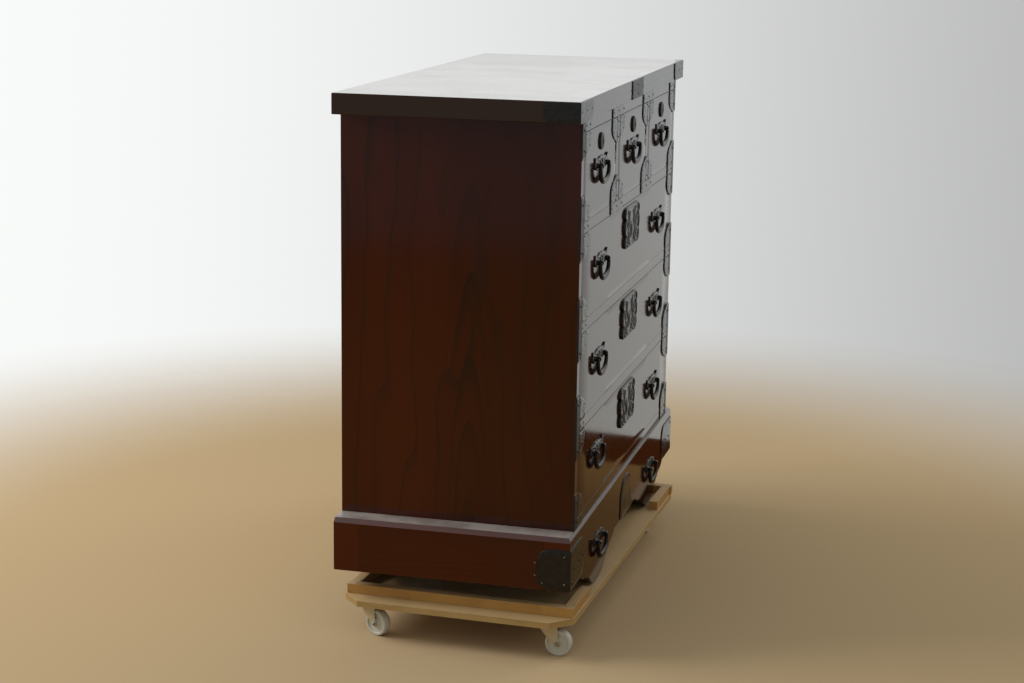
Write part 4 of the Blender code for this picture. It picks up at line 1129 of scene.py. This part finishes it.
def makePlinthIrons():
    # The plinth's arched middle plate with two curls, and its handles' plates
    look = centreLook
    half, low, top = look["half"], plinthLow[2] + look["plinthInset"], bodyBottom - look["archTop"]
    spring = low + (top - low) * look["spring"]
    arch = np.linspace(0, math.pi, 25)
    bow = np.column_stack([half * np.cos(arch), spring + (top - spring) * np.sin(arch)])
    corners = np.vstack([[(half, low)], bow, [(-half, low)]])
    curls = [spiral((way * 0.026, low + 0.030), 0.016, 0.003, 1.4, 90, way, 80) for way in (-1, 1)]

    def relief(across, up, rim):
        return pillow(rim, *look["pillow"]) - groove(curls, across, up, *look["groove"])

    plate = starPlate(corners, (0.0, low + 0.032), ironwork["sheet"], 160, 26, relief=relief)
    heads = [(chestMid + x, plinthFaceY - ironwork["sheet"], z) for x, z in (
        (-0.027, bodyBottom - 0.067), (0.015, bodyBottom - 0.062), (0, top - 0.009), (-0.050, low + 0.008),
        (0.050, low + 0.008))]
    shapes = [onFront(plate, chestMid, 0, plinthFaceY), frontNails(heads)]
    for name in ("plinth_bail_1", "plinth_bail_2"):
        shapes += handlePlate(pivotOf(name)[0], pivotOf(name)[2], plinthShares, plinthHalf, plinthFaceY, 0.0)
    makePiece("plinth_irons", shapes, frontIron)


casterLook = {
    "cheek": (0.0103, 0.0115),              # its inner and outer face, from the fork's middle
    "cheekCentre": (0.0135, 0.0400),
    "neck": (-0.0145, 0.0192),              # the neck's ends along the trail
    "neckLow": 0.0555, "neckTop": 0.0596,
    "race": 0.0145, "raceLow": 0.0567, "raceTop": 0.0615,
    "hub": (0.020, 0.025),
    "bossRadius": 0.0068, "boss": (0.0005, 0.0012), "pillow": (0.0004, 0.004),
    "wheel": 0.0250, "half": 0.0090,
}
# Outline of a fork's cheek: (along the trail, height), down the leading side, round the hub, up the trailing side
cheekOutline = (
    (-0.0145, 0.0596), (-0.0140, 0.0540), (-0.0105, 0.0475), (-0.0040, 0.0395), (0.0030, 0.0320), (0.0090, 0.0262),
    (0.0140, 0.0225), (0.0155, 0.0203), (0.0177, 0.0191), (0.0202, 0.0188), (0.0228, 0.0197), (0.0250, 0.0220),
    (0.0256, 0.0250), (0.0248, 0.0280), (0.0225, 0.0312), (0.0203, 0.0370), (0.0200, 0.0450), (0.0200, 0.0530),
    (0.0196, 0.0596))
# Washer, six-sided nut and the axle's end: (radius, distance from the washer's seat), and their sides
axleEnds = (
    (((0.0050, 0.0), (0.0050, 0.0009), (0.0047, 0.0012)), 24),
    (((0.0036, 0.0), (0.0036, 0.0028), (0.00324, 0.0034)), 6),
    (((0.0024, 0.0), (0.0024, 0.0042), (0.0017, 0.0048)), 16))
# The wheel's face from the bore out: (radius, depth under its side)
wheelFace = (
    (0.0036, 0.0), (0.0078, 0.0), (0.0084, 0.0006), (0.0092, 0.0030), (0.0110, 0.0036), (0.0188, 0.0030),
    (0.0197, 0.0020), (0.0203, 0.0002), (0.0210, 0.0), (0.0228, 0.0), (0.0242, 0.0005),
    (casterLook["wheel"], 0.0018), (casterLook["wheel"], casterLook["half"]))


def placeOn(shape, origin, along, side):
    # Lays (along, up, outwards) on a caster: along its trail, up, and outwards on one side of it
    points = shape[0]
    flat = points[:, :1] * along + points[:, 2:] * side + origin[:2]
    return np.column_stack([flat, origin[2] + points[:, 1]]), shape[1], shape[2]


def makeCasters():
    # Pressed forks with a cheek each side, a crown and its bearing race, and turned wheels with a recessed face
    look = casterLook
    inner, outer = look["cheek"]
    hubAlong, hubUp = look["hub"]
    race, raceLow, raceTop = look["race"], look["raceLow"], look["raceTop"]

    def pressed(across, up, rim):
        inside = look["bossRadius"] - np.hypot(across - hubAlong, up - hubUp)
        return pillow(inside, *look["boss"]) + pillow(rim, *look["pillow"])

    cheek = starPlate(cheekOutline, look["cheekCentre"], outer - inner, 120, 16, 0.0004, 0.0010, pressed)
    cheek[0][:, 2] += inner
    ends = [turned(profile, steps, look["hub"]) for profile, steps in axleEnds]
    for end in ends:
        end[0][:, 2] += outer + seatGap
    neckBack, neckFront = look["neck"]
    corners = [(neckBack, -outer), (neckFront, -outer), (neckFront, outer), (neckBack, outer)]
    neck = starPlate(corners, (0.002, 0.0), look["neckTop"] - look["neckLow"], 96, 4, 0.0012, 0.0030)
    neck[0][:, 1:] = neck[0][:, :0:-1] + (look["neckLow"], 0)
    raceProfile = [(race * 0.8, raceLow), (race, raceLow + 0.001), (race, raceTop - 0.001), (race * 0.95, raceTop)]
    ring = turned(raceProfile, 36)
    face = [(radius, look["half"] - depth) for radius, depth in wheelFace]
    wheel = turnedRing(face + [(r, -h) for r, h in face[:-1][::-1]], 64)
    for name in casterNames:
        swivel, hub = (np.array(joints[kind + name]["pos_m"]) for kind in ("swivel_", "axle_"))
        trail = (hub - swivel)[:2] / np.hypot(*(hub - swivel)[:2])
        side = np.array([-trail[1], trail[0]])
        origin = np.array([*swivel[:2], 0.0])
        ways = (side * -1, side)
        shapes = [placeOn(cheek, origin, trail, way) for way in ways]
        shapes.append(placeOn(neck, origin, trail, side))
        shapes.append((ring[0] + origin, ring[1], ring[2]))
        irons = [placeOn(end, origin, trail, way) for way in ways for end in ends]
        fork = makePiece("fork_sheet_" + name, shapes, creamSteel, "fork_" + name)
        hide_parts("caster_fork_" + name)
        makePiece("fork_nuts_" + name, irons, zinc, "fork_" + name)
        tyre = placeOn(wheel, hub, trail, side)
        tyre = makePiece("wheel_turned_" + name, [tyre], nylon, "wheel_" + name)
        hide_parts("caster_wheel_" + name)


dollyNails = {
    "longShares": (0.04, 0.35, 0.66, 0.96), "shortShares": (0.05, 0.95), "across": (0.25, 0.7),
    "radius": 0.0022, "height": 0.0008,
}


def makeDollyNails():
    # Nail heads along every batten, on its near side in its first half and on its far side beyond
    look = dollyNails
    places = []
    for axis, names, shares in ((1, longBattens, look["longShares"]), (0, shortBattens, look["shortShares"])):
        for name in names:
            low, high = span(name)
            for share in shares:
                place = low + share * (high - low)
                place[1 - axis] = (low + (high - low) * look["across"][share > 0.5])[1 - axis]
                place[2] = high[2]
                places.append(place)
    heads = nails(places, [(0, 0, 1)] * len(places), look["radius"], look["height"])
    makePiece("dolly_nails", [heads], nailSteel)


makeCasters()
makeDollyNails()
makeFrontBoards()
makeBails()
makeDrawerIrons()
makeSideStraps(makeRailIrons())
makeCornerPlates()
makeSlabPlate()
makePlinthIrons()
print("ironwork made")


# Floor, room and lamps

room = {
    "air": (0.985, 1.0, 0.99),
    "floor": (0.54, 0.395, 0.225),
    "floorMirrored": (0.35, 0.195, 0.075),
    "floorRadius": 5.0,
    "floorFade": (1.1, 2.6),
    "wallNear": 0.96,               # the room's brightness towards +Y
    "wallFar": 0.44,                # and towards -Y
    "behindCamera": (0.14, 0.21),   # what the side facing the camera mirrors, low and high
    "rightMirrored": 0.80,
    "ambient": (0.43, 0.46),        # soft light from the front and from the back
    "card": (0.725, 0.75, 0.755),   # the glowing card, a pale wall that the drawer fronts mirror
    "cardLow": (0.6235, 0.615, 0.5738),
    "cardEnds": ((0.80, -0.15), (1.02, -1.6)),
    "cardHeight": 4.0,
    "skirting": (0.065, 0.018, 0.004),
    "skirtingHeight": 0.075,
}
lamps = {       # place, what it looks at, size, watts
    "windowLamp": ((-0.8, 3.6, 2.8), (0, 0, 0.5), (2.6, 2.0), 118),
    "frontWindow": ((2.4, -2.2, 1.8), (0, -0.3, 0), (1.5, 1.5), 20),
    "topSheen": ((3.2, 0.95, 1.80), (0, 0.1, 1.03), (2.0, 1.1), 3.5),
}


def stageMesh(name, points, mat):
    mesh = bpy.data.meshes.new(name)
    mesh.from_pydata(points, [], [list(range(len(points)))])
    mesh.materials.append(mat)
    obj = bpy.data.objects.new(name, mesh)
    bpy.context.scene.collection.objects.link(obj)
    return obj


def makeFloor():
    # A pale round floor that fades out into the room
    angle = circle(96)
    rim = np.column_stack([np.cos(angle), np.sin(angle), np.zeros(len(angle))]) * room["floorRadius"]
    mat, tree, shader = newMaterial("floorPaint")
    glossy = addNode(tree, "LightPath").outputs["Is Glossy Ray"]
    distance = addNode(tree, "VectorMath", {0: objectPlace(tree)}, operation="LENGTH").outputs["Value"]
    color = mixColors(tree, glossy, room["floor"], room["floorMirrored"])
    connect(tree, shader, {"Base Color": color, "Roughness": 0.6, "Specular IOR Level": 0.0})
    clear = addNode(tree, "BsdfTransparent")
    away = times(tree, ramp(tree, distance, *room["floorFade"]), doMath(tree, "SUBTRACT", 1.0, glossy))
    blend = addNode(tree, "MixShader", {0: away, 1: shader.outputs[0], 2: clear.outputs[0]})
    feed(tree, tree.nodes["Material Output"].inputs[0], blend.outputs[0])
    stageMesh("floor", rim.tolist(), mat)


def makeWallCard():
    # A glowing card standing for a pale wall to the chest's right, met by mirrored rays only: a dark skirting band
    # below, plaster above
    mat, tree, shader = newMaterial("wallCardGlow")
    tree.nodes.remove(shader)
    level = splitAxes(tree, objectPlace(tree))[2]
    foot = doMath(tree, "LESS_THAN", level, room["skirtingHeight"])
    upper = mixColors(tree, ramp(tree, level, 0.1, 1.1), room["cardLow"], room["card"])
    glow = addNode(tree, "Emission", {"Color": mixColors(tree, foot, upper, room["skirting"])})
    feed(tree, tree.nodes["Material Output"].inputs[0], glow.outputs[0])
    near, far = room["cardEnds"]
    top = room["cardHeight"]
    card = stageMesh("wallCard", [(*near, 0), (*far, 0), (*far, top), (*near, top)], mat)
    for kind in ("camera", "diffuse", "transmission", "volume_scatter", "shadow"):
        setattr(card, "visible_" + kind, False)


def makeRoom():
    world = bpy.data.worlds.new("room")
    bpy.context.scene.world = world
    world.use_nodes = True
    tree = world.node_tree
    axes = splitAxes(tree, addNode(tree, "TexCoord").outputs["Generated"])
    path = addNode(tree, "LightPath").outputs
    pale = ramp(tree, axes[1], -0.15, 0.5, room["wallFar"], room["wallNear"])
    behind = ramp(tree, axes[2], -0.30, -0.08, *room["behindCamera"])
    seen = mixValues(tree, ramp(tree, axes[0], 0.45, 0.75), behind, room["rightMirrored"])
    seen = mixValues(tree, path["Is Camera Ray"], seen, pale)
    clearSight = doMath(tree, "MAXIMUM", path["Is Camera Ray"], path["Is Glossy Ray"])
    clearSight = doMath(tree, "MAXIMUM", clearSight, path["Is Transmission Ray"])
    soft = ramp(tree, axes[1], -0.6, 0.6, *room["ambient"])
    connect(tree, tree.nodes["Background"], {
        "Color": room["air"], "Strength": mixValues(tree, clearSight, soft, seen)})


def makeLamp(name, place, target, size, power):
    lamp = bpy.data.lights.new(name, "AREA")
    lamp.shape = "RECTANGLE"
    lamp.size, lamp.size_y = size
    lamp.energy = power
    obj = bpy.data.objects.new(name, lamp)
    bpy.context.scene.collection.objects.link(obj)
    obj.location = place
    obj.rotation_euler = (Vector(place) - Vector(target)).to_track_quat("Z", "Y").to_euler()
    obj.visible_camera = False


makeFloor()
makeWallCard()
makeRoom()
for lampName, values in lamps.items():
    makeLamp(lampName, *values)
print("room made")
